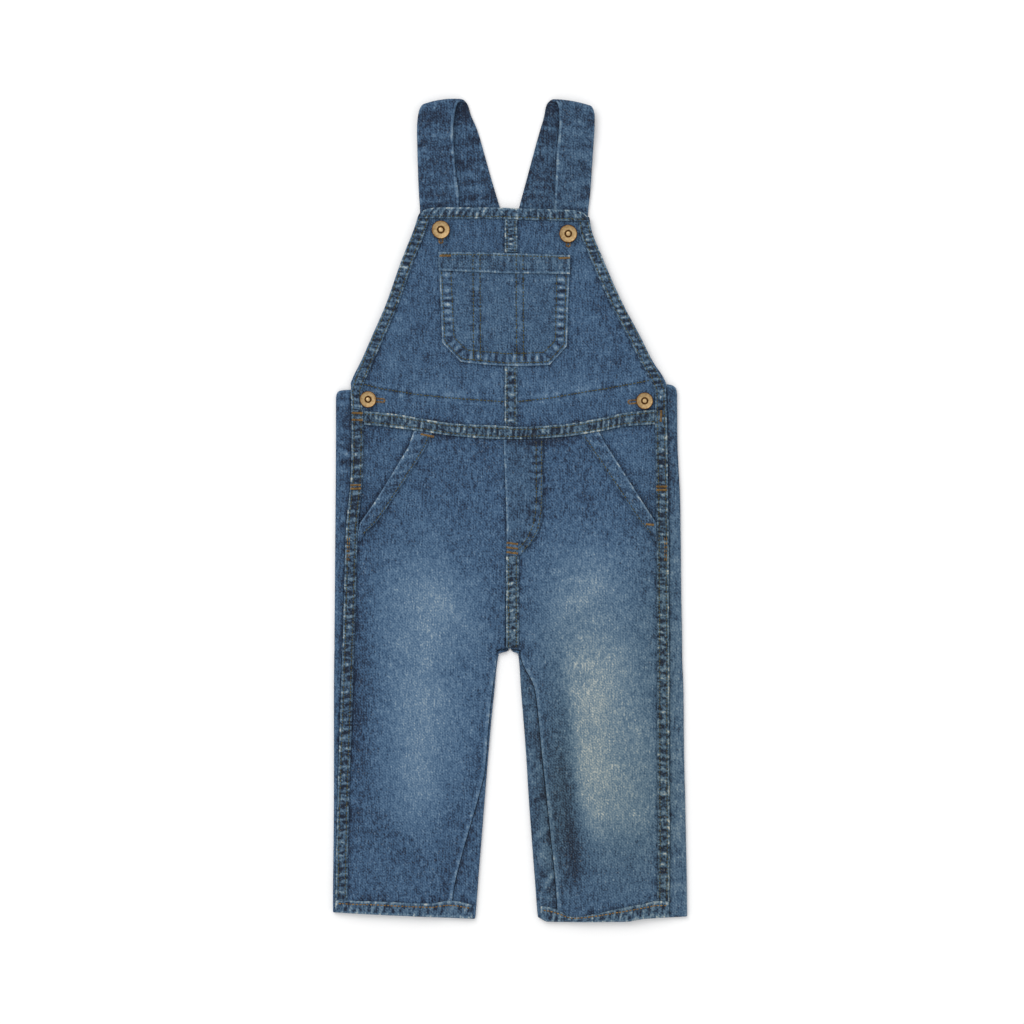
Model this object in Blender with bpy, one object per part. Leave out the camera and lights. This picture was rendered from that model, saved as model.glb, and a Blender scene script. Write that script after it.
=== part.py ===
# Child's denim overalls lying flat on a table, front side up.
# The part's frame is in metres, +Z up, with +Y from the hems to the straps and -X on the
# left of the picture. The tables and functions below work in millimetres.
# Every piece is a cloth wall of its own. The back panels rest on the table and wrap round
# the side and inner folds, the front panels lie over them, and hems, bands, pocket and fly
# are made from the surface of what they lie on, moved out by SEAM_GAP.

import math
from collections import namedtuple

import bmesh
import bpy
from mathutils import Vector

MM = 0.001

# Driving dimensions
CLOTH = 1.0
STRAP_CLOTH = 2.2
SEAM_GAP = 0.3
HALF_GAP = SEAM_GAP / 2
FOLD_RADIUS = 1.1
SIDE_TOP = CLOTH + 2 * FOLD_RADIUS
FOLD_REACH = FOLD_RADIUS + CLOTH / 2
HALF_TURN = math.pi * FOLD_RADIUS
LEG_LOFT = 1.6
BIB_LOFT = 0.6
LOFT_EDGE = 20.0
POCKET_LIFT = 0.6
POCKET_LIFT_WIDTH = 12.0
BAND_WIDTH = 9.0
BIB_HEM = 8.4
POCKET_HEM = 14.0
BIB_TOP = 226.9
CROTCH = -104.5
CROTCH_FOLD = -107.0
LEG_STEPS = 15
CROTCH_X = -1.1
CROTCH_HALF = 8.9
WAIST_ROW = 60.0
WAIST_PARTING = 0.6
WAIST_FADE = 30.0
HEM_ROW = -300.0
HEM_FADE = 28.0
SIDE_TOP_Y = 75.0
SEAT_TOP = 90.4
SEAT_LOW = -103.0
CENTRE_CURL = 0.9
UNDER_BIB = 227.6
STEP_TO_BIB = 50.0
STEP_FOOT = 35.0
SEAT_SLOPE = 0.5
LIFT_FOOT = -50.0
LIFT_TOP = 80.0
FACING_GAP = SEAM_GAP + 0.05
FACING_BOTTOM = -19.0
FACING_TUCK_LOW = 1.5
FACING_TUCK_HIGH = 7.0
WRAP_SHARE = 0.9
POCKET_EDGE_TOP = {"left": 54.6, "right": 57.0}
POCKET_EDGE_BEND = -9.0
POCKET_EDGE_ENDS = [-16.0, -23.0]
POCKET_EDGE_WIDTHS = (12.5, 14.0)
POCKET_EDGE_TAIL = (2.0, 9.0)
SIDE_LOW = -288.0
SIDE_FADE = 38.0
FLY_FADE = 20.0
HEM_INSET = 0.3
CROTCH_SEAM_X = (-2.9, 1.9, 6.7)
CROTCH_SEAM_END = -102.6
BIB_SEAM_X = (-3.95, 1.0, 5.5)
BIB_SEAM_UPPER_END = 193.2
BIB_SEAM_LOWER = (107.8, 63.4)
BIB_TOP_FADE = 25.0
BIB_CORNER = 6.0
POCKET_MIDDLE = -4.0
POCKET_HEM_BOW = 1.2
POCKET_HEM_TAPER = 0.004

# Outline and seams of each leg, from the waist down to the hem. fold is the outer edge of
# the flat leg, side the seam beside it, front the front panel's inner edge, inner the inner
# edge of the flat leg, where the back panel wraps round.
LegRow = namedtuple("LegRow", "y fold side front inner")
LEFT_LEG = (
    LegRow(90.4, -129.6, -119.5, -4.6, -0.2),
    LegRow(86.0, -130.5, -119.3, -4.6, -0.2),
    LegRow(64.0, -130.5, -118.5, -4.6, -0.2),
    LegRow(30.0, -130.6, -119.0, -3.7, -0.2),
    LegRow(-18.0, -131.0, -123.0, -2.6, -0.2),
    LegRow(-60.0, -131.3, -124.2, -3.0, -0.2),
    LegRow(-103.0, -131.6, -125.4, -3.4, -0.2),
    LegRow(-104.5, -131.6, -125.5, -10.0, -0.2),
    LegRow(-107.0, -131.7, -125.6, -10.0, -8.2),
    LegRow(-138.0, -132.0, -126.6, -13.6, -12.0),
    LegRow(-161.0, -132.0, -127.4, -16.0, -14.3),
    LegRow(-195.0, -132.0, -128.6, -18.8, -17.2),
    LegRow(-208.0, -132.0, -129.0, -21.8, -18.2),
    LegRow(-261.0, -132.4, -130.2, -36.8, -22.5),
    LegRow(-286.0, -132.7, -130.6, -42.8, -24.6),
    LegRow(-306.0, -132.7, -130.8, -45.5, -26.8),
)
RIGHT_LEG = (
    LegRow(90.4, 124.4, 117.0, -4.3, 0.2),
    LegRow(86.0, 125.2, 117.1, -4.3, 0.2),
    LegRow(53.0, 125.5, 117.8, -4.1, 0.2),
    LegRow(8.0, 127.5, 118.5, -2.6, 0.2),
    LegRow(-18.0, 127.9, 118.8, -2.3, 0.2),
    LegRow(-60.0, 128.3, 118.9, -2.7, 0.2),
    LegRow(-103.0, 129.0, 119.2, -3.1, 0.2),
    LegRow(-104.5, 129.0, 119.2, 7.8, 0.2),
    LegRow(-107.0, 129.0, 119.3, 7.8, 6.0),
    LegRow(-134.6, 130.0, 119.3, 18.7, 8.2),
    LegRow(-183.0, 130.5, 119.3, 24.0, 12.0),
    LegRow(-211.0, 131.2, 119.4, 27.0, 13.7),
    LegRow(-251.0, 132.0, 119.6, 31.3, 16.6),
    LegRow(-290.0, 132.7, 119.3, 35.3, 19.8),
    LegRow(-308.0, 132.8, 119.3, 37.2, 21.8),
)

# Bottom edge of the hems and upper edge of the hem band, across each leg
HemRow = namedtuple("HemRow", "x bottom band")
LEFT_HEM = (
    HemRow(-132.7, -301.0, -291.6),
    HemRow(-100.0, -302.6, -292.4),
    HemRow(-60.0, -304.4, -294.0),
    HemRow(-45.0, -305.1, -292.0),
    HemRow(-26.8, -305.9, -295.4),
)
RIGHT_HEM = (
    HemRow(21.8, -304.9, -296.0),
    HemRow(27.8, -308.0, -296.6),
    HemRow(35.5, -308.2, -299.0),
    HemRow(46.0, -308.2, -304.0),
    HemRow(86.3, -307.9, -296.8),
    HemRow(101.6, -305.6, -293.8),
    HemRow(110.0, -305.2, -292.1),
    HemRow(132.8, -304.1, -294.8),
)

# Waist seam, from left to right
WaistRow = namedtuple("WaistRow", "x upper lower")
WAIST = (
    WaistRow(-131.0, 76.0, 65.5),
    WaistRow(-109.0, 74.5, 64.2),
    WaistRow(-82.8, 71.8, 61.5),
    WaistRow(-67.9, 69.0, 59.4),
    WaistRow(-38.0, 64.8, 55.4),
    WaistRow(-8.0, 63.6, 53.5),
    WaistRow(4.5, 62.6, 53.3),
    WaistRow(37.5, 64.3, 55.0),
    WaistRow(67.5, 69.0, 59.3),
    WaistRow(86.0, 73.1, 63.0),
    WaistRow(108.5, 75.4, 64.5),
    WaistRow(131.0, 76.0, 65.0),
)

# Free edges of the bib, from its top down to the waist
BibRow = namedtuple("BibRow", "y left right")
BIB = (
    BibRow(226.9, -64.5, 57.0),
    BibRow(224.0, -67.2, 58.8),
    BibRow(210.4, -72.0, 61.4),
    BibRow(187.9, -81.0, 69.8),
    BibRow(154.1, -93.0, 84.8),
    BibRow(131.6, -102.8, 96.8),
    BibRow(109.1, -112.5, 108.0),
    BibRow(97.9, -117.0, 114.0),
    BibRow(90.4, -119.3, 116.8),
)
BIB_SEAM = -3.75

# How far the bib's top edge drops below BIB_TOP: its tilt, and its rounded corners
TopDrop = namedtuple("TopDrop", "x tilt corner")
BIB_TOP_DROP = (
    TopDrop(-64.5, 0.0, 2.2),
    TopDrop(-61.0, 0.0, 0.9),
    TopDrop(-54.0, 0.0, 0.1),
    TopDrop(-36.0, 0.0, 0.0),
    TopDrop(-8.0, 0.2, 0.0),
    TopDrop(6.0, 0.8, 0.0),
    TopDrop(28.0, 1.4, 0.0),
    TopDrop(44.0, 1.9, 0.0),
    TopDrop(51.0, 2.2, 0.4),
    TopDrop(55.0, 2.3, 1.9),
    TopDrop(57.0, 2.3, 3.7),
)

# How far the seat's top rises or drops at the sides, beside the bib
SeatRise = namedtuple("SeatRise", "x rise")
LEFT_SEAT = (
    SeatRise(-130.6, -2.6),
    SeatRise(-127.0, -0.6),
    SeatRise(-121.0, 0.0),
    SeatRise(-110.0, 0.0),
)
RIGHT_SEAT = (
    SeatRise(110.0, 0.0),
    SeatRise(117.2, 4.2),
    SeatRise(121.5, 3.4),
    SeatRise(125.4, 0.6),
)

# Slanted openings of the hip pockets
OpeningRow = namedtuple("OpeningRow", "y left right")
OPENINGS = (
    OpeningRow(66.0, -65.0, 60.0),
    OpeningRow(55.9, -71.2, 67.5),
    OpeningRow(-9.0, -112.3, 109.6),
    OpeningRow(-22.0, -124.0, 118.9),
)

# Mock fly flap
FlyRow = namedtuple("FlyRow", "y left right")
FLY = (
    FlyRow(53.0, -4.9, 24.8),
    FlyRow(20.0, -3.6, 24.8),
    FlyRow(-5.6, -2.7, 24.4),
    FlyRow(-16.0, -2.6, 21.2),
    FlyRow(-26.0, -2.6, 14.4),
    FlyRow(-34.0, -2.6, 6.6),
)

# Bib pocket: its left and right edge, each a point down the side
PocketRow = namedtuple("PocketRow", "left_x left_y right_x right_y sag")
POCKET = (
    PocketRow(-53.6, 193.5, 45.0, 190.9, 0.4),
    PocketRow(-52.7, 172.0, 44.2, 169.0, 0.2),
    PocketRow(-51.6, 148.0, 43.4, 146.0, 0.0),
    PocketRow(-50.7, 125.6, 42.8, 123.4, -0.6),
    PocketRow(-43.6, 118.4, 36.2, 116.0, -1.4),
    PocketRow(-36.8, 111.4, 29.7, 109.1, -1.9),
)

# Straps: the front length runs from under the bib up to the shoulder fold, the back length
# from the fold down to the back bib. out and inn are the edges, with their heights.
StrapRow = namedtuple("StrapRow", "y out inn z_out z_inn")
LEFT_STRAP_FRONT = (
    StrapRow(197.0, -67.0, -38.6, 1.35, 1.35),
    StrapRow(225.5, -67.4, -37.8, 1.35, 1.40),
    StrapRow(235.5, -68.2, -38.0, 1.60, 3.70),
    StrapRow(249.0, -68.8, -40.0, 2.20, 4.00),
    StrapRow(270.4, -69.4, -42.0, 3.40, 4.60),
    StrapRow(288.0, -69.7, -42.6, 4.60, 5.40),
    StrapRow(300.0, -68.4, -40.6, 5.60, 5.90),
)
LEFT_STRAP_BACK = (
    StrapRow(298.0, -60.6, -30.6, 1.1, 1.1),
    StrapRow(288.0, -56.0, -25.5, 1.1, 1.1),
    StrapRow(268.0, -50.0, -19.5, 1.1, 1.1),
    StrapRow(249.4, -43.0, -14.3, 1.1, 1.1),
    StrapRow(236.0, -38.3, -10.3, 1.1, 1.1),
    StrapRow(226.9, -36.0, -7.5, 1.1, 1.1),
    StrapRow(204.0, -29.6, -0.7, 1.1, 1.1),
)
RIGHT_STRAP_FRONT = (
    StrapRow(197.0, 57.4, 32.2, 1.35, 1.35),
    StrapRow(225.5, 58.6, 33.0, 1.35, 1.40),
    StrapRow(235.5, 60.0, 33.5, 1.60, 3.70),
    StrapRow(249.0, 60.9, 34.2, 2.20, 4.00),
    StrapRow(270.4, 62.3, 35.2, 3.40, 4.60),
    StrapRow(288.0, 63.4, 37.0, 4.60, 5.40),
    StrapRow(299.0, 63.6, 36.8, 5.60, 5.90),
)
RIGHT_STRAP_BACK = (
    StrapRow(296.5, 56.2, 26.3, 1.1, 1.1),
    StrapRow(286.0, 52.6, 22.8, 1.1, 1.1),
    StrapRow(268.0, 47.8, 17.8, 1.1, 1.1),
    StrapRow(249.4, 39.6, 12.8, 1.1, 1.1),
    StrapRow(236.0, 33.3, 9.2, 1.1, 1.1),
    StrapRow(226.9, 31.2, 6.8, 1.1, 1.1),
    StrapRow(204.0, 27.6, 0.7, 1.1, 1.1),
)
ShoulderFold = namedtuple("ShoulderFold", "y_out y_inn")
LEFT_SHOULDER = ShoulderFold(300.8, 304.7)
RIGHT_SHOULDER = ShoulderFold(299.8, 304.7)
SHOULDER_RADIUS = 2.4
SHOULDER_STEPS = 8
CORNER_ROW = 224.0
WAIST_END_Y = 68.0
HEM_TUCK = 0.4
SHARP_ANGLE = math.radians(40)
# rows and columns of points in each panel's grid
HIP_ROWS = 9
FACING_COLUMNS = 5
SIDE_ROWS = 34
HEM_COLUMNS = 16
WAIST_COLUMNS = 26
FLY_ROWS = 12
CROTCH_ROWS = 9
BIB_ROWS = 15
BIB_SIDE_ROWS = 18
MIDDLE_ROWS = 5
POCKET_HEM_COLUMNS = 8
BACK_BIB_ROWS = 6
HIDDEN_ROWS = 3
FRONT_ROWS = 24
BACK_ROWS = 12
STRAP_COLUMNS = (0.0, 0.25, 0.5, 0.75, 1.0)

# Back bib, hidden behind the front one
BackRow = namedtuple("BackRow", "y left right")
BACK_BIB = (
    BackRow(90.7, -111.0, 108.0),
    BackRow(110.0, -94.0, 90.0),
    BackRow(150.0, -60.0, 56.0),
    BackRow(190.0, -35.0, 31.0),
    BackRow(203.7, -30.4, 28.4),
)

# Largest soft folds in the front cloth: from one point to another, negative is a trough
Fold = namedtuple("Fold", "x0 y0 x1 y1 width height")
FOLDS = (
    Fold(40.0, -196.0, 49.0, -276.0, 6.5, -0.9),
    Fold(60.0, -180.0, 74.0, -270.0, 15.0, 0.6),
    Fold(-16.0, -92.0, -62.0, -62.0, 9.0, 0.6),
    Fold(16.0, -90.0, 66.0, -58.0, 9.0, 0.6),
    Fold(-30.0, -122.0, -84.0, -112.0, 10.0, -0.5),
    Fold(-42.0, -225.0, -50.0, -282.0, 8.0, -0.6),
    Fold(-66.0, -120.0, -70.0, -230.0, 18.0, 0.5),
    Fold(-96.0, -236.0, -70.0, -262.0, 10.0, -0.5),
    Fold(84.0, -110.0, 62.0, -150.0, 12.0, 0.5),
    Fold(-84.0, 30.0, -58.0, -20.0, 10.0, 0.4),
    Fold(52.0, 36.0, 66.0, -24.0, 9.0, -0.4),
    Fold(-78.0, 176.0, -88.0, 112.0, 7.0, 0.5),
    Fold(66.0, 160.0, 82.0, 116.0, 7.0, -0.4),
    Fold(-66.0, 92.0, -20.0, 84.0, 7.0, 0.5),
    Fold(30.0, 88.0, 78.0, 96.0, 7.0, 0.5),
)

# Cross creases of the straps, by height along the front length
Crease = namedtuple("Crease", "y width height")
STRAP_CREASES = (
    Crease(292.0, 3.6, -0.35),
    Crease(282.5, 4.2, 0.30),
    Crease(273.0, 3.4, -0.40),
    Crease(264.5, 4.0, 0.35),
    Crease(256.0, 3.6, -0.30),
    Crease(246.0, 4.4, 0.35),
    Crease(237.5, 3.2, -0.25),
)

BUTTONS = {
    "button_bib_left": (-51.7, 210.0, 1.0),
    "button_bib_right": (43.6, 207.0, 0.98),
    "button_waist_left": (-106.1, 83.1, 0.9),
    "button_waist_right": (100.7, 82.0, 0.92),
}
# Turned profile of a button from its shank to its middle: radius and height over the cloth
BUTTON_PROFILE = (
    (0.0, SEAM_GAP),
    (3.2, SEAM_GAP),
    (3.2, 1.75),
    (6.5, 1.75),
    (6.9, 2.3),
    (6.6, 3.1),
    (5.9, 3.35),
    (4.0, 3.3),
    (3.5, 2.9),
    (2.0, 2.85),
    (1.6, 3.4),
    (0.8, 3.75),
    (0.0, 3.8),
)
BUTTON_SIDES = 18

DENIM = ("indigo denim", (0.055, 0.105, 0.185, 1.0), 0.85, 0.0)
SEAM_DENIM = ("worn seam denim", (0.075, 0.125, 0.19, 1.0), 0.85, 0.0)
BRASS = ("antique brass", (0.42, 0.26, 0.09, 1.0), 0.35, 1.0)

PANEL_COLUMNS = (0.0, 0.04, 0.1, 0.2, 0.33, 0.5, 0.67, 0.8, 0.9, 0.96, 1.0)
BIB_COLUMNS = (0.0, 0.03, 0.08, 0.2, 0.4, 0.6, 0.8, 1.0)
BIB_TOP_COLUMNS = (0.0, 0.02, 0.05, 0.1, 0.25, 0.4, 0.55, 0.7, 0.85, 0.92, 0.96, 0.985, 1.0)
BAND_COLUMNS = (0.0, 0.5, 1.0)
FLOOR_COLUMNS = (0.0, 0.33, 0.66, 0.89, 1.0)
HIP_STEPS = 7


# Small helpers

def smooth(value):
    value = min(1.0, max(0.0, value))
    return value * value * (3 - 2 * value)


def mix(low, high, share):
    return low + (high - low) * share


def spread(start, end, steps):
    return [mix(start, end, step / steps) for step in range(steps + 1)]


def slopes(keys, values):
    # Tangents that never overshoot between two rows
    steps = [(values[i + 1] - values[i]) / (keys[i + 1] - keys[i]) for i in range(len(keys) - 1)]
    tangents = [steps[0]]
    for before, after in zip(steps, steps[1:]):
        if before * after <= 0:
            tangents.append(0.0)
        else:
            tangents.append(2 * before * after / (before + after))
    tangents.append(steps[-1])
    return tangents


def column(table, key, name):
    # Value of one named column at key, which is the table's first column
    rows = sorted(table)
    keys = [row[0] for row in rows]
    values = [getattr(row, name) for row in rows]
    key = min(keys[-1], max(keys[0], key))
    index = max(i for i in range(len(keys) - 1) if keys[i] <= key)
    tangents = slopes(keys, values)
    width = keys[index + 1] - keys[index]
    t = (key - keys[index]) / width
    return (
        (1 + 2 * t) * (1 - t) ** 2 * values[index]
        + t * (1 - t) ** 2 * width * tangents[index]
        + t * t * (3 - 2 * t) * values[index + 1]
        + t * t * (t - 1) * width * tangents[index + 1]
    )


def distance_to_line(x, y, line):
    along = Vector((line.x1 - line.x0, line.y1 - line.y0))
    offset = Vector((x - line.x0, y - line.y0))
    share = min(1.0, max(0.0, offset.dot(along) / along.length_squared))
    return (offset - along * share).length


# Height of the front cloth's upper side above the table

def waist_middle(x):
    return (column(WAIST, x, "upper") + column(WAIST, x, "lower")) / 2


def edge_rise(distance):
    return smooth(distance / LOFT_EDGE)


def side_distance(x, y):
    left = x - column(LEFT_LEG, y, "side")
    right = column(RIGHT_LEG, y, "side") - x
    return max(0.0, min(left, right))


def inner_distance(x, y):
    if y > CROTCH:
        across = max(0.0, abs(x - CROTCH_X) - CROTCH_HALF)
        return math.hypot(across, (y - CROTCH) * SEAT_SLOPE)
    if x < CROTCH_X:
        return max(0.0, column(LEFT_LEG, y, "front") - x)
    return max(0.0, x - column(RIGHT_LEG, y, "front"))


def front_height(x, y):
    rise = edge_rise(side_distance(x, y)) * edge_rise(inner_distance(x, y))
    loft = LEG_LOFT * rise
    to_bib = smooth((y - STEP_FOOT) / STEP_TO_BIB)
    loft = mix(loft, BIB_LOFT, to_bib)
    folds = 0.0
    for fold in FOLDS:
        folds += fold.height * math.exp(-((distance_to_line(x, y, fold) / fold.width) ** 2))
    return SIDE_TOP + loft + folds * mix(rise, 1.0, to_bib)


def opening(side, y):
    return column(OPENINGS, y, side)


def panel_height(x, y):
    # The front panel is raised a little beside the pocket openings
    side = "left" if x < CROTCH_X else "right"
    off = (x - opening(side, y)) / POCKET_LIFT_WIDTH
    window = smooth((y - LIFT_FOOT) / HEM_FADE) * smooth((LIFT_TOP - y) / LOFT_EDGE)
    return front_height(x, y) + POCKET_LIFT * window * math.exp(-off * off)


def facing_height(x, y, side):
    # From the side seam down under the front panel's pocket opening
    seam = column(leg_table(side), y, "side")
    to_opening = abs(opening(side, y) - seam) + 1.0
    share = smooth(abs(x - seam) / to_opening)
    under = panel_height(x, y) - CLOTH - FACING_GAP
    return mix(front_height(x, y), under, share)


# Making walls

def material(recipe):
    name, colour, roughness, metallic = recipe
    made = bpy.data.materials.get(name) or bpy.data.materials.new(name)
    made.use_nodes = True
    made.diffuse_color = colour
    shader = made.node_tree.nodes["Principled BSDF"]
    shader.inputs["Base Color"].default_value = colour
    shader.inputs["Roughness"].default_value = roughness
    shader.inputs["Metallic"].default_value = metallic
    return made


def add_object(name, mesh_data, recipe):
    mesh = bpy.data.meshes.new(name)
    mesh_data.to_mesh(mesh)
    mesh_data.free()
    mesh.materials.append(material(recipe))
    made = bpy.data.objects.new(name, mesh)
    bpy.context.collection.objects.link(made)
    return made


def closed_wall(name, upper, lower, recipe):
    # Two grids of the same size, joined round their rims
    mesh = bmesh.new()
    rows = len(upper)
    columns = len(upper[0])
    over = [[mesh.verts.new(Vector(p) * MM) for p in row] for row in upper]
    under = [[mesh.verts.new(Vector(p) * MM) for p in row] for row in lower]
    for i in range(rows - 1):
        for j in range(columns - 1):
            mesh.faces.new((over[i][j], over[i][j + 1], over[i + 1][j + 1], over[i + 1][j]))
            mesh.faces.new((under[i][j], under[i + 1][j], under[i + 1][j + 1], under[i][j + 1]))
    rim = [(0, j) for j in range(columns)]
    rim += [(i, columns - 1) for i in range(1, rows)]
    rim += [(rows - 1, j) for j in range(columns - 2, -1, -1)]
    rim += [(i, 0) for i in range(rows - 2, 0, -1)]
    for here, there in zip(rim, rim[1:] + rim[:1]):
        (a, b), (c, d) = here, there
        mesh.faces.new((over[c][d], over[a][b], under[a][b], under[c][d]))
    bmesh.ops.recalc_face_normals(mesh, faces=mesh.faces)
    return add_object(name, mesh, recipe)


def flat_wall(name, top, recipe, thickness=CLOTH):
    lower = [[(x, y, z - thickness) for x, y, z in row] for row in top]
    return closed_wall(name, top, lower, recipe)


def bent_wall(name, middle, thickness, recipe):
    # The wall's thickness is given square to its middle surface
    rows = len(middle)
    columns = len(middle[0])
    points = [[Vector(p) for p in row] for row in middle]
    upper = []
    lower = []
    for i in range(rows):
        upper.append([])
        lower.append([])
        for j in range(columns):
            along = points[min(i + 1, rows - 1)][j] - points[max(i - 1, 0)][j]
            across = points[i][min(j + 1, columns - 1)] - points[i][max(j - 1, 0)]
            normal = along.cross(across).normalized() * (thickness / 2)
            upper[i].append(points[i][j] + normal)
            lower[i].append(points[i][j] - normal)
    return closed_wall(name, upper, lower, recipe)


def band_on(name, grid, height, recipe=SEAM_DENIM):
    # A strip of cloth made from the surface that it lies on, moved out
    top = [[(x, y, height(x, y) + SEAM_GAP + CLOTH) for x, y in row] for row in grid]
    return flat_wall(name, top, recipe)


# Legs

def leg_table(side):
    return LEFT_LEG if side == "left" else RIGHT_LEG


def hem_table(side):
    return LEFT_HEM if side == "left" else RIGHT_HEM


def inward(side):
    return 1.0 if side == "left" else -1.0


def bent_row(x, row, side):
    # Rows near the waist follow the waist seam, rows near the hem follow the hem
    to_waist = smooth((row - (WAIST_ROW - WAIST_FADE)) / WAIST_FADE)
    to_hem = smooth((HEM_ROW + HEM_FADE - row) / HEM_FADE)
    y = row + (waist_middle(x) - WAIST_PARTING - WAIST_ROW) * to_waist
    return y + (column(hem_table(side), x, "bottom") - HEM_ROW) * to_hem


def front_edges(side, y):
    outer = column(leg_table(side), y, "side") + HALF_GAP * inward(side)
    if y > OPENINGS[-1].y:
        outer = opening(side, y)
    return outer, column(leg_table(side), y, "front")


def leg_front(side):
    rows = spread(WAIST_ROW, OPENINGS[-1].y, HIP_STEPS) + spread(OPENINGS[-1].y, SEAT_LOW, HIP_STEPS)[1:]
    rows += [CROTCH] + spread(CROTCH_FOLD, HEM_ROW, LEG_STEPS)
    grid = []
    for row in rows:
        line = []
        for share in PANEL_COLUMNS:
            y = row
            for _ in range(4):
                outer, inner = front_edges(side, y if row > OPENINGS[-1].y else row)
                x = mix(outer, inner, share)
                y = bent_row(x, row, side)
            line.append((x, y, panel_height(x, y)))
        grid.append(line)
    flat_wall("leg_front_" + side, grid, DENIM)


def wrap_point(centre, direction, length):
    # A point of the back panel's middle surface, this far round a fold of the leg
    if length < HALF_TURN:
        angle = length / FOLD_RADIUS
        x = centre + direction * FOLD_RADIUS * math.sin(angle)
        return x, CLOTH / 2 + FOLD_RADIUS * (1 - math.cos(angle))
    return centre - direction * (length - HALF_TURN), CLOTH / 2 + 2 * FOLD_RADIUS


def wrap_lengths(total):
    round_fold = min(total * WRAP_SHARE, HALF_TURN)
    lengths = [round_fold * step / 4 for step in range(1, 5)]
    return lengths + spread(round_fold, total, 2)[1:]


def leg_back(side):
    table = leg_table(side)
    sign = inward(side)
    seat = LEFT_SEAT if side == "left" else RIGHT_SEAT
    rows = spread(SEAT_TOP, OPENINGS[-1].y, HIP_ROWS) + spread(OPENINGS[-1].y, SEAT_LOW, HIP_STEPS)[1:] + [CROTCH]
    rows += spread(CROTCH_FOLD, HEM_ROW, LEG_STEPS)
    grid = []
    for row in rows:
        fold = column(table, row, "fold")
        inner = column(table, row, "inner")
        outer_centre = fold + FOLD_REACH * sign
        inner_centre = inner - FOLD_REACH * sign
        outer_wrap = HALF_TURN + (column(table, row, "side") - outer_centre) * sign - HALF_GAP
        inner_wrap = CENTRE_CURL
        if row < CROTCH:
            inner_wrap = HALF_TURN + (inner_centre - column(table, row, "front")) * sign
            inner_wrap -= SEAM_GAP + HALF_GAP
        section = [wrap_point(inner_centre, sign, s) for s in reversed(wrap_lengths(inner_wrap))]
        section += [(mix(inner_centre, outer_centre, share), CLOTH / 2) for share in FLOOR_COLUMNS]
        section += [wrap_point(outer_centre, -sign, s) for s in wrap_lengths(outer_wrap)]
        to_hem = smooth((HEM_ROW + HEM_FADE - row) / HEM_FADE)
        to_top = smooth((row - WAIST_ROW) / WAIST_FADE)
        line = []
        for x, z in section:
            hem = column(hem_table(side), x, "bottom") - HEM_ROW
            line.append((x, row + hem * to_hem + column(seat, x, "rise") * to_top, z))
        grid.append(line)
    bent_wall("leg_back_" + side, grid, CLOTH, DENIM)


def facing(side):
    rows = spread(WAIST_ROW, FACING_BOTTOM, HIP_ROWS)
    grid = []
    for row in rows:
        line = []
        for share in spread(0.0, 1.0, FACING_COLUMNS):
            y = row
            for _ in range(4):
                seam = column(leg_table(side), y, "side") + HALF_GAP * inward(side)
                tuck = mix(FACING_TUCK_LOW, FACING_TUCK_HIGH, smooth((y - FACING_BOTTOM) / WAIST_FADE))
                x = mix(seam, opening(side, y) + tuck * inward(side), share)
                y = bent_row(x, row, side)
            line.append((x, y, facing_height(x, y, side)))
        grid.append(line)
    flat_wall("pocket_facing_" + side, grid, DENIM)


def pocket_edge(side):
    top = POCKET_EDGE_TOP[side]
    end = POCKET_EDGE_ENDS[-1]
    grid = []
    for y in spread(top, POCKET_EDGE_BEND, HIP_ROWS) + POCKET_EDGE_ENDS:
        slit = opening(side, y)
        band = column(leg_table(side), y, "side") + (BAND_WIDTH + SEAM_GAP) * inward(side)
        inner = slit + mix(*POCKET_EDGE_WIDTHS, smooth(y / top)) * inward(side)
        outer = slit + SEAM_GAP * inward(side)
        if y < POCKET_EDGE_BEND:
            outer = band
            share = (y - end) / (POCKET_EDGE_BEND - end)
            inner = band + mix(*POCKET_EDGE_TAIL, share) * inward(side)
        line = []
        for share in BAND_COLUMNS:
            x = mix(outer, inner, share)
            low = column(WAIST, x, "lower") - SEAM_GAP
            line.append((x, min(y, low) if y < top else low))
        grid.append(line)
    band_on("pocket_edge_" + side, grid, panel_height)


def side_seam(side):
    grid = []
    for row in spread(SIDE_TOP_Y, SIDE_LOW, SIDE_ROWS):
        line = []
        seam = column(leg_table(side), row, "side")
        for share in BAND_COLUMNS:
            x = seam + BAND_WIDTH * share * inward(side)
            hem = column(hem_table(side), x, "band") + SEAM_GAP
            y = row + (hem - SIDE_LOW) * smooth((SIDE_LOW + SIDE_FADE - row) / SIDE_FADE)
            line.append((x, y))
        grid.append(line)
    band_on("side_seam_" + side, grid, panel_height)


def leg_hem(side):
    table = sorted(hem_table(side))
    seam = column(leg_table(side), HEM_ROW, "side")
    inner = column(leg_table(side), HEM_ROW, "inner") - (FOLD_REACH + HEM_TUCK) * inward(side)
    grid = []
    for x in spread(min(seam, inner), max(seam, inner), HEM_COLUMNS):
        upper = column(table, x, "band")
        lower = column(table, x, "bottom") + HEM_INSET
        grid.append([(x, y) for y in (upper, mix(upper, lower, 0.5), lower)])
    band_on("leg_hem_" + side, grid, panel_height)


# Seat, fly and crotch

def waist_seam():
    left = column(LEFT_LEG, WAIST_END_Y, "side") + BAND_WIDTH + SEAM_GAP
    right = column(RIGHT_LEG, WAIST_END_Y, "side") - BAND_WIDTH - SEAM_GAP
    grid = []
    for x in spread(left, right, WAIST_COLUMNS):
        upper = column(WAIST, x, "upper")
        lower = column(WAIST, x, "lower")
        grid.append([(x, upper), (x, (upper + lower) / 2), (x, lower)])
    band_on("waist_seam", grid, panel_height)


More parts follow.
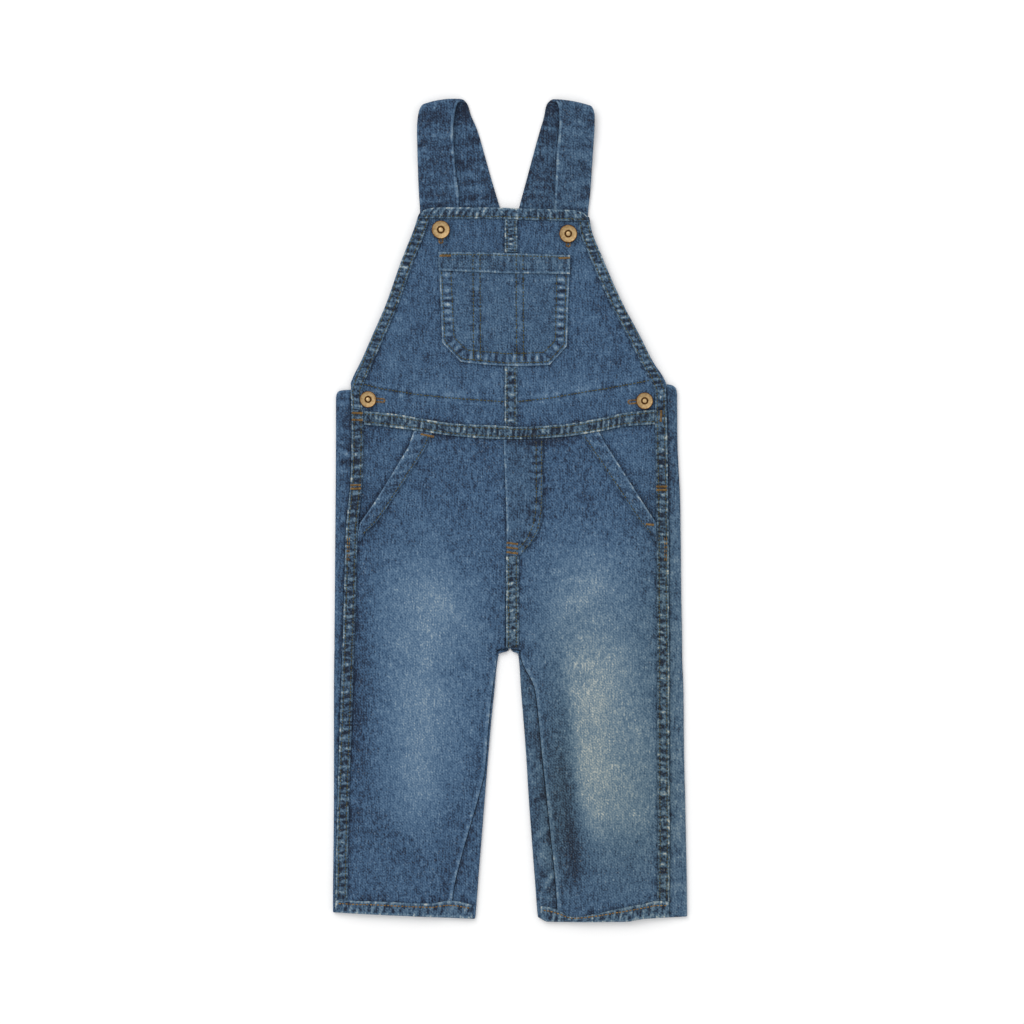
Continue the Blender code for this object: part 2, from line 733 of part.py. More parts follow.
def fly_flap():
    grid = []
    for row in spread(FLY[0].y, FLY[-1].y, FLY_ROWS):
        left = column(FLY, row, "left")
        right = column(FLY, row, "right")
        line = []
        for x in spread(left, right, 4):
            low = column(WAIST, x, "lower") - SEAM_GAP
            y = row + (low - FLY[0].y) * smooth((row - FLY[0].y + FLY_FADE) / FLY_FADE)
            line.append((x, y))
        grid.append(line)
    band_on("fly_flap", grid, panel_height, DENIM)


def crotch_seam():
    grid = []
    for y in spread(FLY[-1].y - SEAM_GAP, CROTCH_SEAM_END, CROTCH_ROWS):
        grid.append([(x, y) for x in CROTCH_SEAM_X])
    band_on("crotch_seam", grid, panel_height)


# Bib

def bib_edge(side, y):
    # Below the seat's top the bib ends at the side seam
    if y < SEAT_TOP:
        return column(leg_table(side), y, "side") + HALF_GAP * inward(side)
    return column(BIB, y, side)


def bib_point(x, row):
    # Rows near the bib's top follow its sloping edge
    tilt = column(BIB_TOP_DROP, x, "tilt") * smooth((row - BIB_TOP + BIB_HEM + BIB_TOP_FADE) / BIB_TOP_FADE)
    corner = column(BIB_TOP_DROP, x, "corner") * smooth((row - BIB_TOP + BIB_CORNER) / BIB_CORNER)
    return x, row - tilt - corner


def bib_half(side):
    seam = BIB_SEAM - HALF_GAP * inward(side)
    rows = [BIB_TOP, CORNER_ROW] + spread(CORNER_ROW, WAIST_ROW, BIB_ROWS)[1:]
    grid = []
    for row in rows:
        line = []
        for share in BIB_COLUMNS:
            x, y = bib_point(mix(bib_edge(side, row), seam, share), row)
            to_waist = smooth((WAIST_ROW + 2 * WAIST_FADE - row) / (2 * WAIST_FADE))
            y += (waist_middle(x) + WAIST_PARTING - WAIST_ROW) * to_waist
            line.append((x, y, front_height(x, y)))
        grid.append(line)
    flat_wall("bib_" + side, grid, DENIM)


def bib_top_hem():
    grid = []
    for y in (BIB_TOP, CORNER_ROW, BIB_TOP - BIB_HEM):
        left = column(BIB, y, "left")
        right = column(BIB, y, "right")
        grid.append([bib_point(mix(left, right, share), y) for share in BIB_TOP_COLUMNS])
    band_on("bib_top_hem", grid, front_height)


def bib_side_hem(side):
    grid = []
    top = BIB_TOP - BIB_HEM - SEAM_GAP
    for y in spread(top, SIDE_TOP_Y + SEAM_GAP, BIB_SIDE_ROWS):
        edge = bib_edge(side, y)
        width = mix(BAND_WIDTH - 0.5, BAND_WIDTH + SEAM_GAP, smooth((y - SEAT_TOP) / LOFT_EDGE))
        grid.append([bib_point(edge + width * share * inward(side), y) for share in BAND_COLUMNS])
    band_on("bib_side_hem_" + side, grid, front_height)


def bib_seam(name, top, bottom):
    grid = []
    for y in spread(top, bottom, MIDDLE_ROWS):
        grid.append([bib_point(x, y) for x in BIB_SEAM_X])
    band_on(name, grid, front_height)


def pocket_rows():
    rows = []
    for upper, lower, steps in zip(POCKET, POCKET[1:], (2, 2, 2, 1, 1)):
        for step in range(steps):
            rows.append(PocketRow(*[mix(a, b, step / steps) for a, b in zip(upper, lower)]))
    return rows + [POCKET[-1]]


def pocket_line(row, shares):
    line = []
    for share in shares:
        bow = row.sag * 4 * share * (1 - share)
        y = mix(row.left_y, row.right_y, share) + bow
        line.append((mix(row.left_x, row.right_x, share), y))
    return line


def bib_pocket():
    shares = spread(0.0, 1.0, POCKET_HEM_COLUMNS)
    grid = [pocket_line(row, shares) for row in pocket_rows()]
    band_on("bib_pocket", grid, front_height, DENIM)


def on_pocket(x, y):
    return front_height(x, y) + SEAM_GAP + CLOTH


def bib_pocket_hem():
    shares = spread(0.0, 1.0, 10)
    grid = []
    half = POCKET[0].right_x - POCKET_MIDDLE
    for share in BAND_COLUMNS:
        line = []
        for x, y in pocket_line(POCKET[0], shares):
            bow = POCKET_HEM_BOW * max(0.0, 1 - abs(x - POCKET_MIDDLE) / half)
            line.append((x * (1 - POCKET_HEM_TAPER * share), y - (POCKET_HEM + bow) * share))
        grid.append(line)
    band_on("bib_pocket_hem", grid, on_pocket)


def back_bib():
    grid = []
    for y in spread(BACK_BIB[0].y, BACK_BIB[-1].y, BACK_BIB_ROWS):
        left = column(BACK_BIB, y, "left")
        right = column(BACK_BIB, y, "right")
        grid.append([(x, y, CLOTH) for x in spread(left, right, 2)])
    flat_wall("back_bib", grid, DENIM)


# Straps

def strap_line(row, wave=0.0):
    line = []
    for share in STRAP_COLUMNS:
        z = mix(row.z_out, row.z_inn, share) + wave
        line.append((mix(row.out, row.inn, share), row.y, z))
    return line


def strap_row(table, y):
    return StrapRow(y, *[column(table, y, name) for name in StrapRow._fields[1:]])


def strap_wave(y):
    return sum(c.height * math.exp(-(((y - c.y) / c.width) ** 2)) for c in STRAP_CREASES)


def strap(side):
    front, back, fold = LEFT_STRAP_FRONT, LEFT_STRAP_BACK, LEFT_SHOULDER
    if side == "right":
        front, back, fold = RIGHT_STRAP_FRONT, RIGHT_STRAP_BACK, RIGHT_SHOULDER
    grid = []
    for y in spread(front[0].y, UNDER_BIB, HIDDEN_ROWS) + spread(UNDER_BIB, front[-1].y, FRONT_ROWS)[1:]:
        grid.append(strap_line(strap_row(front, y), strap_wave(y)))
    low = STRAP_CLOTH / 2
    for step in range(SHOULDER_STEPS + 1):
        turned = step / SHOULDER_STEPS
        z = low + SHOULDER_RADIUS * (1 + math.cos(math.pi * turned))
        reach = SHOULDER_RADIUS * math.sin(math.pi * turned)
        out = mix(front[-1].out, back[0].out, turned)
        inn = mix(front[-1].inn, back[0].inn, turned)
        line = []
        for share in STRAP_COLUMNS:
            y = mix(fold.y_out, fold.y_inn, share) + reach
            line.append((mix(out, inn, share), y, z))
        grid.append(line)
    for y in spread(back[0].y, back[-1].y, BACK_ROWS):
        grid.append(strap_line(strap_row(back, y)))
    bent_wall("strap_" + side, grid, STRAP_CLOTH, DENIM)


# Buttons

def button(name):
    x, y, size = BUTTONS[name]
    base = front_height(x, y)
    mesh = bmesh.new()
    rings = []
    for radius, height in BUTTON_PROFILE:
        z = base + height
        if radius == 0.0:
            rings.append([mesh.verts.new(Vector((x, y, z)) * MM)])
            continue
        ring = []
        for step in range(BUTTON_SIDES):
            angle = math.tau * step / BUTTON_SIDES
            point = Vector((x, y, z))
            point.x += radius * size * math.cos(angle)
            point.y += radius * size * math.sin(angle)
            ring.append(mesh.verts.new(point * MM))
        rings.append(ring)
    for low, high in zip(rings, rings[1:]):
        for step in range(BUTTON_SIDES):
            after = (step + 1) % BUTTON_SIDES
            if len(low) == 1:
                mesh.faces.new((low[0], high[after], high[step]))
            elif len(high) == 1:
                mesh.faces.new((low[step], low[after], high[0]))
            else:
                mesh.faces.new((low[step], low[after], high[after], high[step]))
    bmesh.ops.recalc_face_normals(mesh, faces=mesh.faces)
    made = add_object(name, mesh, BRASS)
    made.data.shade_smooth()
    made.data.set_sharp_from_angle(angle=SHARP_ANGLE)


def build():
    for old in list(bpy.data.objects):
        bpy.data.objects.remove(old, do_unlink=True)
    for side in ("left", "right"):
        leg_back(side)
        leg_front(side)
        facing(side)
        pocket_edge(side)
        side_seam(side)
        leg_hem(side)
        bib_half(side)
        bib_side_hem(side)
        strap(side)
    waist_seam()
    fly_flap()
    crotch_seam()
    back_bib()
    bib_top_hem()
    bib_seam("bib_seam_upper", BIB_TOP - BIB_HEM - SEAM_GAP, BIB_SEAM_UPPER_END)
    bib_seam("bib_seam_lower", *BIB_SEAM_LOWER)
    bib_pocket()
    bib_pocket_hem()
    for name in BUTTONS:
        button(name)


build()
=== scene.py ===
# Child's denim overalls lying flat, front side up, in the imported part's own frame.
# Tables and shapes are in millimetres and become metres when a mesh is made.
import math

import bmesh
import bpy
import numpy as np
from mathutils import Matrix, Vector


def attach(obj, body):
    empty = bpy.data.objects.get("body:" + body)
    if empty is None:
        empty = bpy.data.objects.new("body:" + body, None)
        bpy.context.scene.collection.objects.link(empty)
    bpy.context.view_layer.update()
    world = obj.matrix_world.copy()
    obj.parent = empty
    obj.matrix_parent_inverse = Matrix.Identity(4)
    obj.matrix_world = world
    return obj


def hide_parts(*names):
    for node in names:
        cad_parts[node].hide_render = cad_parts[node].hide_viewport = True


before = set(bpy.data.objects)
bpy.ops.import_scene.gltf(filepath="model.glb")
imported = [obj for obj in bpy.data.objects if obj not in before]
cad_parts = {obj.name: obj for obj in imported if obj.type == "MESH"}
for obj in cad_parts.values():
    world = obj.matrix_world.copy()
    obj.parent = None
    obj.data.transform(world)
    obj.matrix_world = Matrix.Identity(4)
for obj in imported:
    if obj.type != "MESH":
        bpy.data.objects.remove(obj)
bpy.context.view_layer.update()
print("solids loaded:", len(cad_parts))

mm = 0.001
sides = ("left", "right")


# helpers for tables and patterns

def table(names, *rows):
    # named columns, sorted on the first one
    return dict(zip(names.split(), np.array(sorted(rows), float).T))


def smooth(value):
    value = np.clip(value, 0.0, 1.0)
    return value * value * (3 - 2 * value)


def mix(low, high, share):
    return low + (high - low) * share


def curve(rows, name, key):
    # smooth value of one column that never overshoots between two rows
    keys = next(iter(rows.values()))
    values = rows[name]
    steps = np.diff(values) / np.diff(keys)
    before, after = steps[:-1], steps[1:]
    turning = before * after <= 0
    total = np.where(turning, 1.0, before + after)
    inner = np.where(turning, 0.0, 2 * before * after / total)
    tangents = np.concatenate((steps[:1], inner, steps[-1:]))
    key = np.clip(key, keys[0], keys[-1])
    i = np.clip(np.searchsorted(keys, key, side="right") - 1, 0, len(keys) - 2)
    width = keys[i + 1] - keys[i]
    t = (key - keys[i]) / width
    start = (1 + 2 * t) * (1 - t) ** 2 * values[i] + t * (1 - t) ** 2 * width * tangents[i]
    end = t * t * (3 - 2 * t) * values[i + 1] + t * t * (t - 1) * width * tangents[i + 1]
    return start + end


def corner(i, j, seed):
    mixed = (i * 374761393 + j * 668265263 + seed * 974126177) & 0xFFFFFFFF
    mixed = ((mixed ^ (mixed >> 13)) * 127412617) & 0xFFFFFFFF
    return ((mixed ^ (mixed >> 16)) & 0xFFFF) / 32767.5 - 1


def noise(x, y, seed):
    # even noise from -1 to 1 in cells of 1
    x, y = np.broadcast_arrays(np.asarray(x, float), np.asarray(y, float))
    i, j = np.floor(x).astype(np.int64), np.floor(y).astype(np.int64)
    u, v = smooth(x - i), smooth(y - j)
    low = mix(corner(i, j, seed), corner(i + 1, j, seed), u)
    high = mix(corner(i, j + 1, seed), corner(i + 1, j + 1, seed), u)
    return mix(low, high, v)


def bell(distance, width):
    return np.exp(-((distance / width) ** 2))


def alongLine(x, y, points):
    # distance to a line of points, and the place along it
    best = np.full(np.shape(x), 1e9)
    place = np.zeros(np.shape(x))
    start = 0.0
    for (x0, y0), (x1, y1) in zip(points, points[1:]):
        dx, dy = x1 - x0, y1 - y0
        length = math.hypot(dx, dy)
        t = np.clip(((x - x0) * dx + (y - y0) * dy) / length ** 2, 0, 1)
        off = np.hypot(x - x0 - t * dx, y - y0 - t * dy)
        place = np.where(off < best, start + t * length, place)
        best = np.minimum(off, best)
        start += length
    return best, place


# the garment's own sizes, the same as in the part's source

cloth = 1.0
strapCloth = 2.2
gap = 0.3
foldRadius = 1.1
sideTop = cloth + 2 * foldRadius
foldReach = foldRadius + cloth / 2
halfTurn = math.pi * foldRadius
bandWidth = 9.0
bibHem = 8.4
pocketHem = 14.0
bibTop = 226.9
crotch = -104.5
crotchX = -1.1
waistRow = 60.0
hemRow = -300.0
sideTopY = 75.0
seatTop = 90.4
bibSeamX = -3.75

legRows = {
    "left": table(
        "y fold side front inner",
        (90.4, -129.6, -119.5, -4.6, -0.2), (86, -130.5, -119.3, -4.6, -0.2),
        (64, -130.5, -118.5, -4.6, -0.2), (30, -130.6, -119, -3.7, -0.2),
        (-18, -131, -123, -2.6, -0.2), (-60, -131.3, -124.2, -3, -0.2),
        (-103, -131.6, -125.4, -3.4, -0.2), (-104.5, -131.6, -125.5, -10, -0.2),
        (-107, -131.7, -125.6, -10, -8.2), (-138, -132, -126.6, -13.6, -12),
        (-161, -132, -127.4, -16, -14.3), (-195, -132, -128.6, -18.8, -17.2),
        (-208, -132, -129, -21.8, -18.2), (-261, -132.4, -130.2, -36.8, -22.5),
        (-286, -132.7, -130.6, -42.8, -24.6), (-306, -132.7, -130.8, -45.5, -26.8),
    ),
    "right": table(
        "y fold side front inner",
        (90.4, 124.4, 117, -4.3, 0.2), (86, 125.2, 117.1, -4.3, 0.2),
        (53, 125.5, 117.8, -4.1, 0.2), (8, 127.5, 118.5, -2.6, 0.2),
        (-18, 127.9, 118.8, -2.3, 0.2), (-60, 128.3, 118.9, -2.7, 0.2),
        (-103, 129, 119.2, -3.1, 0.2), (-104.5, 129, 119.2, 7.8, 0.2), (-107, 129, 119.3, 7.8, 6),
        (-134.6, 130, 119.3, 18.7, 8.2), (-183, 130.5, 119.3, 24, 12),
        (-211, 131.2, 119.4, 27, 13.7), (-251, 132, 119.6, 31.3, 16.6),
        (-290, 132.7, 119.3, 35.3, 19.8), (-308, 132.8, 119.3, 37.2, 21.8),
    ),
}
hemRows = {
    "left": table(
        "x bottom band",
        (-132.7, -301, -291.6), (-100, -302.6, -292.4), (-60, -304.4, -294), (-45, -305.1, -292),
        (-26.8, -305.9, -295.4),
    ),
    "right": table(
        "x bottom band",
        (21.8, -304.9, -296), (27.8, -308, -296.6), (35.5, -308.2, -299), (46, -308.2, -304),
        (86.3, -307.9, -296.8), (101.6, -305.6, -293.8), (110, -305.2, -292.1),
        (132.8, -304.1, -294.8),
    ),
}
waistRows = table(
    "x upper lower",
    (-131, 76, 65.5), (-109, 74.5, 64.2), (-82.8, 71.8, 61.5), (-67.9, 69, 59.4),
    (-38, 64.8, 55.4), (-8, 63.6, 53.5), (4.5, 62.6, 53.3), (37.5, 64.3, 55), (67.5, 69, 59.3),
    (86, 73.1, 63), (108.5, 75.4, 64.5), (131, 76, 65),
)
bibRows = table(
    "y left right",
    (226.9, -64.5, 57), (224, -67.2, 58.8), (210.4, -72, 61.4), (187.9, -81, 69.8),
    (154.1, -93, 84.8), (131.6, -102.8, 96.8), (109.1, -112.5, 108), (97.9, -117, 114),
    (90.4, -119.3, 116.8),
)
bibTopRows = table(  # the bib's top edge drops by its tilt and at its rounded corners
    "x tilt corner",
    (-64.5, 0, 2.2), (-61, 0, 0.9), (-54, 0, 0.1), (-36, 0, 0), (-8, 0.2, 0), (6, 0.8, 0),
    (28, 1.4, 0), (44, 1.9, 0), (51, 2.2, 0.4), (55, 2.3, 1.9), (57, 2.3, 3.7),
)
seatRows = {
    "left": table("x rise", (-130.6, -2.6), (-127.0, -0.6), (-121.0, 0.0), (-110.0, 0.0)),
    "right": table("x rise", (110.0, 0.0), (117.2, 4.2), (121.5, 3.4), (125.4, 0.6)),
}
openingRows = table(
    "y left right",
    (66, -65, 60), (55.9, -71.2, 67.5), (-9, -112.3, 109.6), (-22, -124, 118.9),
)
flyRows = table(
    "y left right",
    (53, -4.9, 24.8), (20, -3.6, 24.8), (-5.6, -2.7, 24.4), (-16, -2.6, 21.2), (-26, -2.6, 14.4),
    (-34, -2.6, 6.6),
)
pocketPoints = np.array((  # left x, left y, right x, right y, sag between them
    (-53.6, 193.5, 45, 190.9, 0.4), (-52.7, 172, 44.2, 169, 0.2), (-51.6, 148, 43.4, 146, 0),
    (-50.7, 125.6, 42.8, 123.4, -0.6), (-43.6, 118.4, 36.2, 116, -1.4),
    (-36.8, 111.4, 29.7, 109.1, -1.9),
))
# soft folds of the front cloth: from, to, width and height, where a trough is negative
folds = (
    (40, -196, 49, -276, 6.5, -0.9), (60, -180, 74, -270, 15, 0.6), (-16, -92, -62, -62, 9, 0.6),
    (16, -90, 66, -58, 9, 0.6), (-30, -122, -84, -112, 10, -0.5), (-42, -225, -50, -282, 8, -0.6),
    (-66, -120, -70, -230, 18, 0.5), (-96, -236, -70, -262, 10, -0.5),
    (84, -110, 62, -150, 12, 0.5), (-84, 30, -58, -20, 10, 0.4), (52, 36, 66, -24, 9, -0.4),
    (-78, 176, -88, 112, 7, 0.5), (66, 160, 82, 116, 7, -0.4), (-66, 92, -20, 84, 7, 0.5),
    (30, 88, 78, 96, 7, 0.5),
)
# smaller creases that only the finished cloth has, in the same way
creases = (
    (-30, 50, -24, 20, 3, -0.22), (-44, 46, -38, 24, 2.6, 0.20), (-56, 40, -64, 14, 3, -0.20),
    (34, 44, 40, 10, 3.2, -0.25), (46, 48, 50, 26, 2.6, 0.20), (-14, -84, -40, -76, 3.4, -0.30),
    (-12, -96, -34, -98, 3, 0.26), (-18, -110, -44, -120, 3.2, -0.24),
    (14, -84, 38, -74, 3.4, -0.28), (13, -97, 34, -102, 3, 0.24),
    (26, -118, 48, -128, 3.4, -0.24), (-24, -176, -46, -186, 4, 0.24),
    (-28, -206, -50, -214, 3.6, -0.22), (-108, -60, -84, -72, 4.4, 0.24),
    (-112, -152, -88, -160, 4, -0.22), (-110, -262, -84, -272, 4.2, 0.24),
    (108, -70, 88, -78, 4, 0.22), (110, -150, 88, -160, 4.4, -0.22),
    (108, -226, 86, -236, 4.2, 0.24), (56, -284, 96, -288, 4, 0.24),
    (-104, -288, -60, -286, 4, -0.22), (-62, 200, -66, 176, 3, -0.22),
    (52, 196, 58, 172, 3, 0.22), (-30, 100, -70, 104, 3.4, -0.22), (24, 98, 66, 104, 3.4, 0.20),
    (-96, 104, -76, 96, 3.6, 0.24), (94, 104, 76, 98, 3.6, -0.22),
)
shape = {
    "legLoft": 1.6, "bibLoft": 0.6, "loftEdge": 20.0, "pocketLift": 0.6, "liftWidth": 12.0,
    "bibStart": 35.0, "bibRise": 50.0, "crotchHalf": 8.9, "creaseEdge": 9.0,
    "waistFlow": 30.0, "hemFlow": 28.0, "waistGap": 0.6,
}
# line is how much painted contact shadow darkens the cloth right beside a seam
ripples = {"wearAndShade": 0.15, "line": 0.13, "legHeight": 0.13, "bibHeight": 0.12, "limit": 1.2}


def inward(side):
    return 1.0 if side == "left" else -1.0


def opening(side, y):
    return curve(openingRows, side, y)


def foldDistance(x, y, line):
    x0, y0, x1, y1 = line[:4]
    return alongLine(x, y, ((x0, y0), (x1, y1)))[0]


def frontHeight(x, y):
    # upper side of the front cloth above the table
    x, y = np.broadcast_arrays(np.asarray(x, float), np.asarray(y, float))
    left = x - curve(legRows["left"], "side", y)
    right = curve(legRows["right"], "side", y) - x
    outer = np.maximum(0.0, np.minimum(left, right))
    seat = np.hypot(np.maximum(0.0, np.abs(x - crotchX) - shape["crotchHalf"]), (y - crotch) * 0.5)
    legLeft = curve(legRows["left"], "front", y) - x
    legRight = x - curve(legRows["right"], "front", y)
    inner = np.where(y > crotch, seat, np.maximum(0.0, np.where(x < crotchX, legLeft, legRight)))
    rise = smooth(outer / shape["loftEdge"]) * smooth(inner / shape["loftEdge"])
    toBib = smooth((y - shape["bibStart"]) / shape["bibRise"])
    loft = mix(shape["legLoft"] * rise, shape["bibLoft"], toBib)
    total = np.zeros(x.shape)
    for line in folds:
        total += line[5] * bell(foldDistance(x, y, line), line[4])
    near = smooth(outer / shape["creaseEdge"]) * smooth(inner / shape["creaseEdge"])
    small = 0.14 * noise(x / 15, y / 21, 3) + 0.06 * noise(x / 6, y / 8, 4)
    for line in creases:
        small = small + line[5] * bell(foldDistance(x, y, line), line[4])
    return sideTop + loft + total * mix(rise, 1.0, toBib) + small * mix(near, 1.0, toBib)


def panelHeight(x, y):
    # the front panel is raised a little beside the pocket openings
    x, y = np.broadcast_arrays(np.asarray(x, float), np.asarray(y, float))
    slit = np.where(x < crotchX, opening("left", y), opening("right", y))
    window = smooth((y + 50.0) / 28.0) * smooth((80.0 - y) / 20.0)
    return frontHeight(x, y) + shape["pocketLift"] * window * bell(x - slit, shape["liftWidth"])


def waistMiddle(x):
    return (curve(waistRows, "upper", x) + curve(waistRows, "lower", x)) / 2


def hemShift(x, y, side):
    # how far rows near the hem follow its own line
    near = smooth((hemRow + shape["hemFlow"] - y) / shape["hemFlow"])
    return (curve(hemRows[side], "bottom", x) - hemRow) * near


def facingHeight(x, y, side):
    seam = curve(legRows[side], "side", y)
    share = smooth(np.abs(x - seam) / (np.abs(opening(side, y) - seam) + 1.0))
    return mix(frontHeight(x, y), panelHeight(x, y) - cloth - gap - 0.05, share)


# seam lines in plan, which pucker the cloth beside them

def lineOf(function, start, end, step):
    places = np.linspace(start, end, max(3, int(abs(end - start) / step)))
    return [tuple(float(v) for v in function(place)) for place in places]


puckers = []  # points, reach, period, strength


def puckerAlong(points, reach=5.0, period=3.1, strength=1.0):
    puckers.append((points, reach, period, strength))


for side in sides:
    inn = inward(side)
    beside = (bandWidth + 0.5) * inn
    puckerAlong(lineOf(lambda y: (curve(legRows[side], "side", y) + beside, y), 72, -288, 30))
    puckerAlong(lineOf(lambda y: (curve(bibRows, side, y) + beside, y), 214, 92, 24), 6.5, 3.6)
    puckerAlong(lineOf(lambda y: (opening(side, y) + 13.6 * inn, y), 52, -8, 14), 4.5, 3.4, 0.8)
    hemEnds = (-121.0, -30.0) if side == "left" else (30.0, 110.0)
    puckerAlong(lineOf(lambda x: (x, curve(hemRows[side], "band", x) + 0.5), *hemEnds, 14), 5.5, 3.3, 0.9)
puckerAlong(lineOf(lambda x: (x, curve(waistRows, "upper", x) + 0.5), -108, 106, 16), 5.0, 3.3, 0.9)
puckerAlong(lineOf(lambda x: (x, curve(waistRows, "lower", x) - 0.5), -108, 106, 16), 6.0, 3.5, 1.1)
puckerAlong([(-4.5, 218), (-4.4, 110)], 4.0, 3.0, 0.8)
puckerAlong([(6.2, 218), (6.2, 64)], 5.0, 3.0, 0.8)
puckerAlong([(25.4, 50), (25.2, 0), (22, -16), (15, -27), (7, -34)], 7.0, 3.4, 1.0)
puckerAlong([(7.2, -38), (7.2, -100)], 5.0, 3.2, 0.9)
puckerAlong([(-3.4, 50), (-3.2, -20), (-3.4, -100)], 4.5, 3.2, 0.8)
puckerAlong(
    [(-54.2, 194), (-51, 125), (-36.8, 110), (-3, 107), (29.7, 108), (43.2, 123), (45.6, 191)], 4.0, 3.2, 0.8,
)
bibLowerLines = (  # one row of stitches across the bib above the waist, in a small trough
    [(-109.6, 94.6), (-96, 91.2), (-70, 87.0), (-40, 83.9), (-6.4, 81.6), (-4.4, 81.6)],
    [(6.0, 81.7), (30, 84.2), (60, 89.4), (84, 93.4), (104.6, 97.4)],
)
for line in bibLowerLines:
    puckerAlong(line, 4.5, 3.0, 1.4)


def pucker(x, y):
    # ripples beside the seams, and how close each point is to one, which later darkens the cloth there as
    # painted contact shadow
    total = np.zeros(np.shape(x))
    close = np.zeros(np.shape(x))
    for number, (points, reach, period, strength) in enumerate(puckers):
        off, place = alongLine(x, y, points)
        wave = noise(place / period, off / 13.0, 20 + number)
        total += strength * wave * np.exp(-off / reach)
        close = np.maximum(close, bell(off, 1.3) * min(1.0, strength))
    return np.clip(total, -ripples["limit"], ripples["limit"]), close


# how far the indigo is washed out, from 0 dark to 1 pale, with painted shade added under and beside the waist
# band and in the folds, and how yellow

# the dark entries just below the waist band, at its ends and at the bottoms of the pocket openings are
# painted shade
fadesAndShade = (  # x, y, half widths, amount
    (-64, -66, 34, 38, 0.27), (-66, -135, 36, 58, 0.27), (-69, -202, 30, 36, 0.18),
    (56, -52, 36, 36, 0.28), (60, -108, 36, 36, 0.26), (104, -190, 20, 90, 0.13),
    (-114, -142, 13, 90, -0.18), (-22, -190, 16, 60, -0.04), (-108, 20, 14, 44, -0.07),
    (104, 20, 14, 44, -0.06), (-26, -120, 14, 60, 0.05), (26, -190, 10, 60, -0.03),
    (46, -256, 8, 30, -0.12), (70, -262, 40, 22, -0.07), (12, 53, 26, 6, -0.45),
    (-49, 62, 7, 8, -0.28), (-108, 62, 14, 6, -0.16), (98, 66, 12, 6, -0.14),
    (-106, -8, 9, 10, -0.14), (104, -4, 9, 10, -0.12), (-80, 30, 40, 40, -0.03),
    (-10, 96, 70, 12, 0.06), (-4, 150, 44, 34, 0.03), (84, -276, 30, 16, 0.05),
    (0, -104, 13, 5, -0.16),
)
kneeFades = (  # the right knee's fade, which ends sharply along the fold at its inner side
    (60, -142, 36, 40, 0.17), (64, -186, 38, 48, 0.33), (72, -230, 34, 32, 0.15),
)
khakis = (
    (58, -182, 44, 80, 0.50), (60, -100, 50, 60, 0.30), (92, -240, 46, 70, 0.45),
    (36, -230, 14, 70, 0.45), (112, -120, 22, 140, 0.40), (46, 206, 30, 30, 0.10),
    (-14, 10, 60, 50, -0.05),
)


def blobs(x, y, rows):
    x, y = np.broadcast_arrays(np.asarray(x, float), np.asarray(y, float))
    total = np.zeros(x.shape)
    for x0, y0, rx, ry, amount in rows:
        total += amount * np.exp(-(((x - x0) / rx) ** 2 + ((y - y0) / ry) ** 2))
    return total


def clothWearAndShade(x, y, base=0.375):
    wearAndShade = base + blobs(x, y, fadesAndShade) + 0.04 * noise(x / 9, y / 14, 7) + 0.035 * noise(x / 4, y / 5, 8)
    kneeEdge = 34.0 - 0.11 * (y + 136.0)
    wearAndShade = wearAndShade + blobs(x, y, kneeFades) * smooth((x - kneeEdge) / 15.0)
    # folds and creases turn paler on their ridges and darker in their troughs: painted shade of the relief,
    # with some rubbing on the ridges
    for line in folds + creases:
        wearAndShade = wearAndShade + 0.12 * line[5] * bell(foldDistance(x, y, line), line[4] * 0.8)
    return wearAndShade


def yellowing(x, y):
    return 0.12 + blobs(x, y, khakis)


# meshes

rimSteps = (0.14, 0.5)  # where the first two points from an edge lie, in mm


def shares(length, step):
    # even steps, with close ones at each end for a rolled edge
    near, far = rimSteps
    count = max(1, int(round((length - 2 * far) / step)))
    inner = np.linspace(far, length - far, count + 1)
    return np.concatenate(([0.0, near], inner, [length - near, length])) / length


def rolled(distance, radius):
    off = np.clip(1 - distance / radius, 0, 1)
    return radius * (1 - np.sqrt(1 - off * off))


def newPiece(name, points, faces):
    # a smooth mesh from points in mm, with its faces turned outward
    mesh = bpy.data.meshes.new(name)
    mesh.from_pydata((points * mm).tolist(), [], faces)
    work = bmesh.new()
    work.from_mesh(mesh)
    bmesh.ops.recalc_face_normals(work, faces=work.faces)
    work.to_mesh(mesh)
    work.free()
    mesh.shade_smooth()
    piece = bpy.data.objects.new(name, mesh)
    bpy.context.scene.collection.objects.link(piece)
    return piece


def closeShell(name, top, low, wearAndShade, khaki):
    # a closed wall from two grids of points, with its wear and painted shade and khaki for each point
    rows, columns = top.shape[:2]
    count = rows * columns
    index = np.arange(count).reshape(rows, columns)
    over = np.stack((index[:-1, :-1], index[:-1, 1:], index[1:, 1:], index[1:, :-1]), -1).reshape(-1, 4)
    rim = np.concatenate((index[0, :], index[1:, -1], index[-1, -2::-1], index[-2:0:-1, 0]))
    after = np.roll(rim, -1)
    wall = np.stack((after, rim, rim + count, after + count), -1)
    faces = np.concatenate((over, over[:, ::-1] + count, wall))
    piece = newPiece(name, np.concatenate((top.reshape(-1, 3), low.reshape(-1, 3))), faces.tolist())
    for label, values in (("wearAndShade", wearAndShade), ("khaki", khaki)):
        values = np.broadcast_to(values, (rows, columns)).ravel()
        layer = piece.data.attributes.new(label, "FLOAT", "POINT")
        layer.data.foreach_set("value", np.tile(values, 2).astype(np.float32))
    return piece


def clothShell(name, x, y, z, wearAndShade, khaki, rim, thick=cloth):
    drop = 0.9 * rolled(rim, thick / 2)
    top = np.stack((x, y, z - drop), -1)
    low = np.stack((x, y, z - thick + drop), -1)
    return closeShell(name, top, low, wearAndShade, khaki)


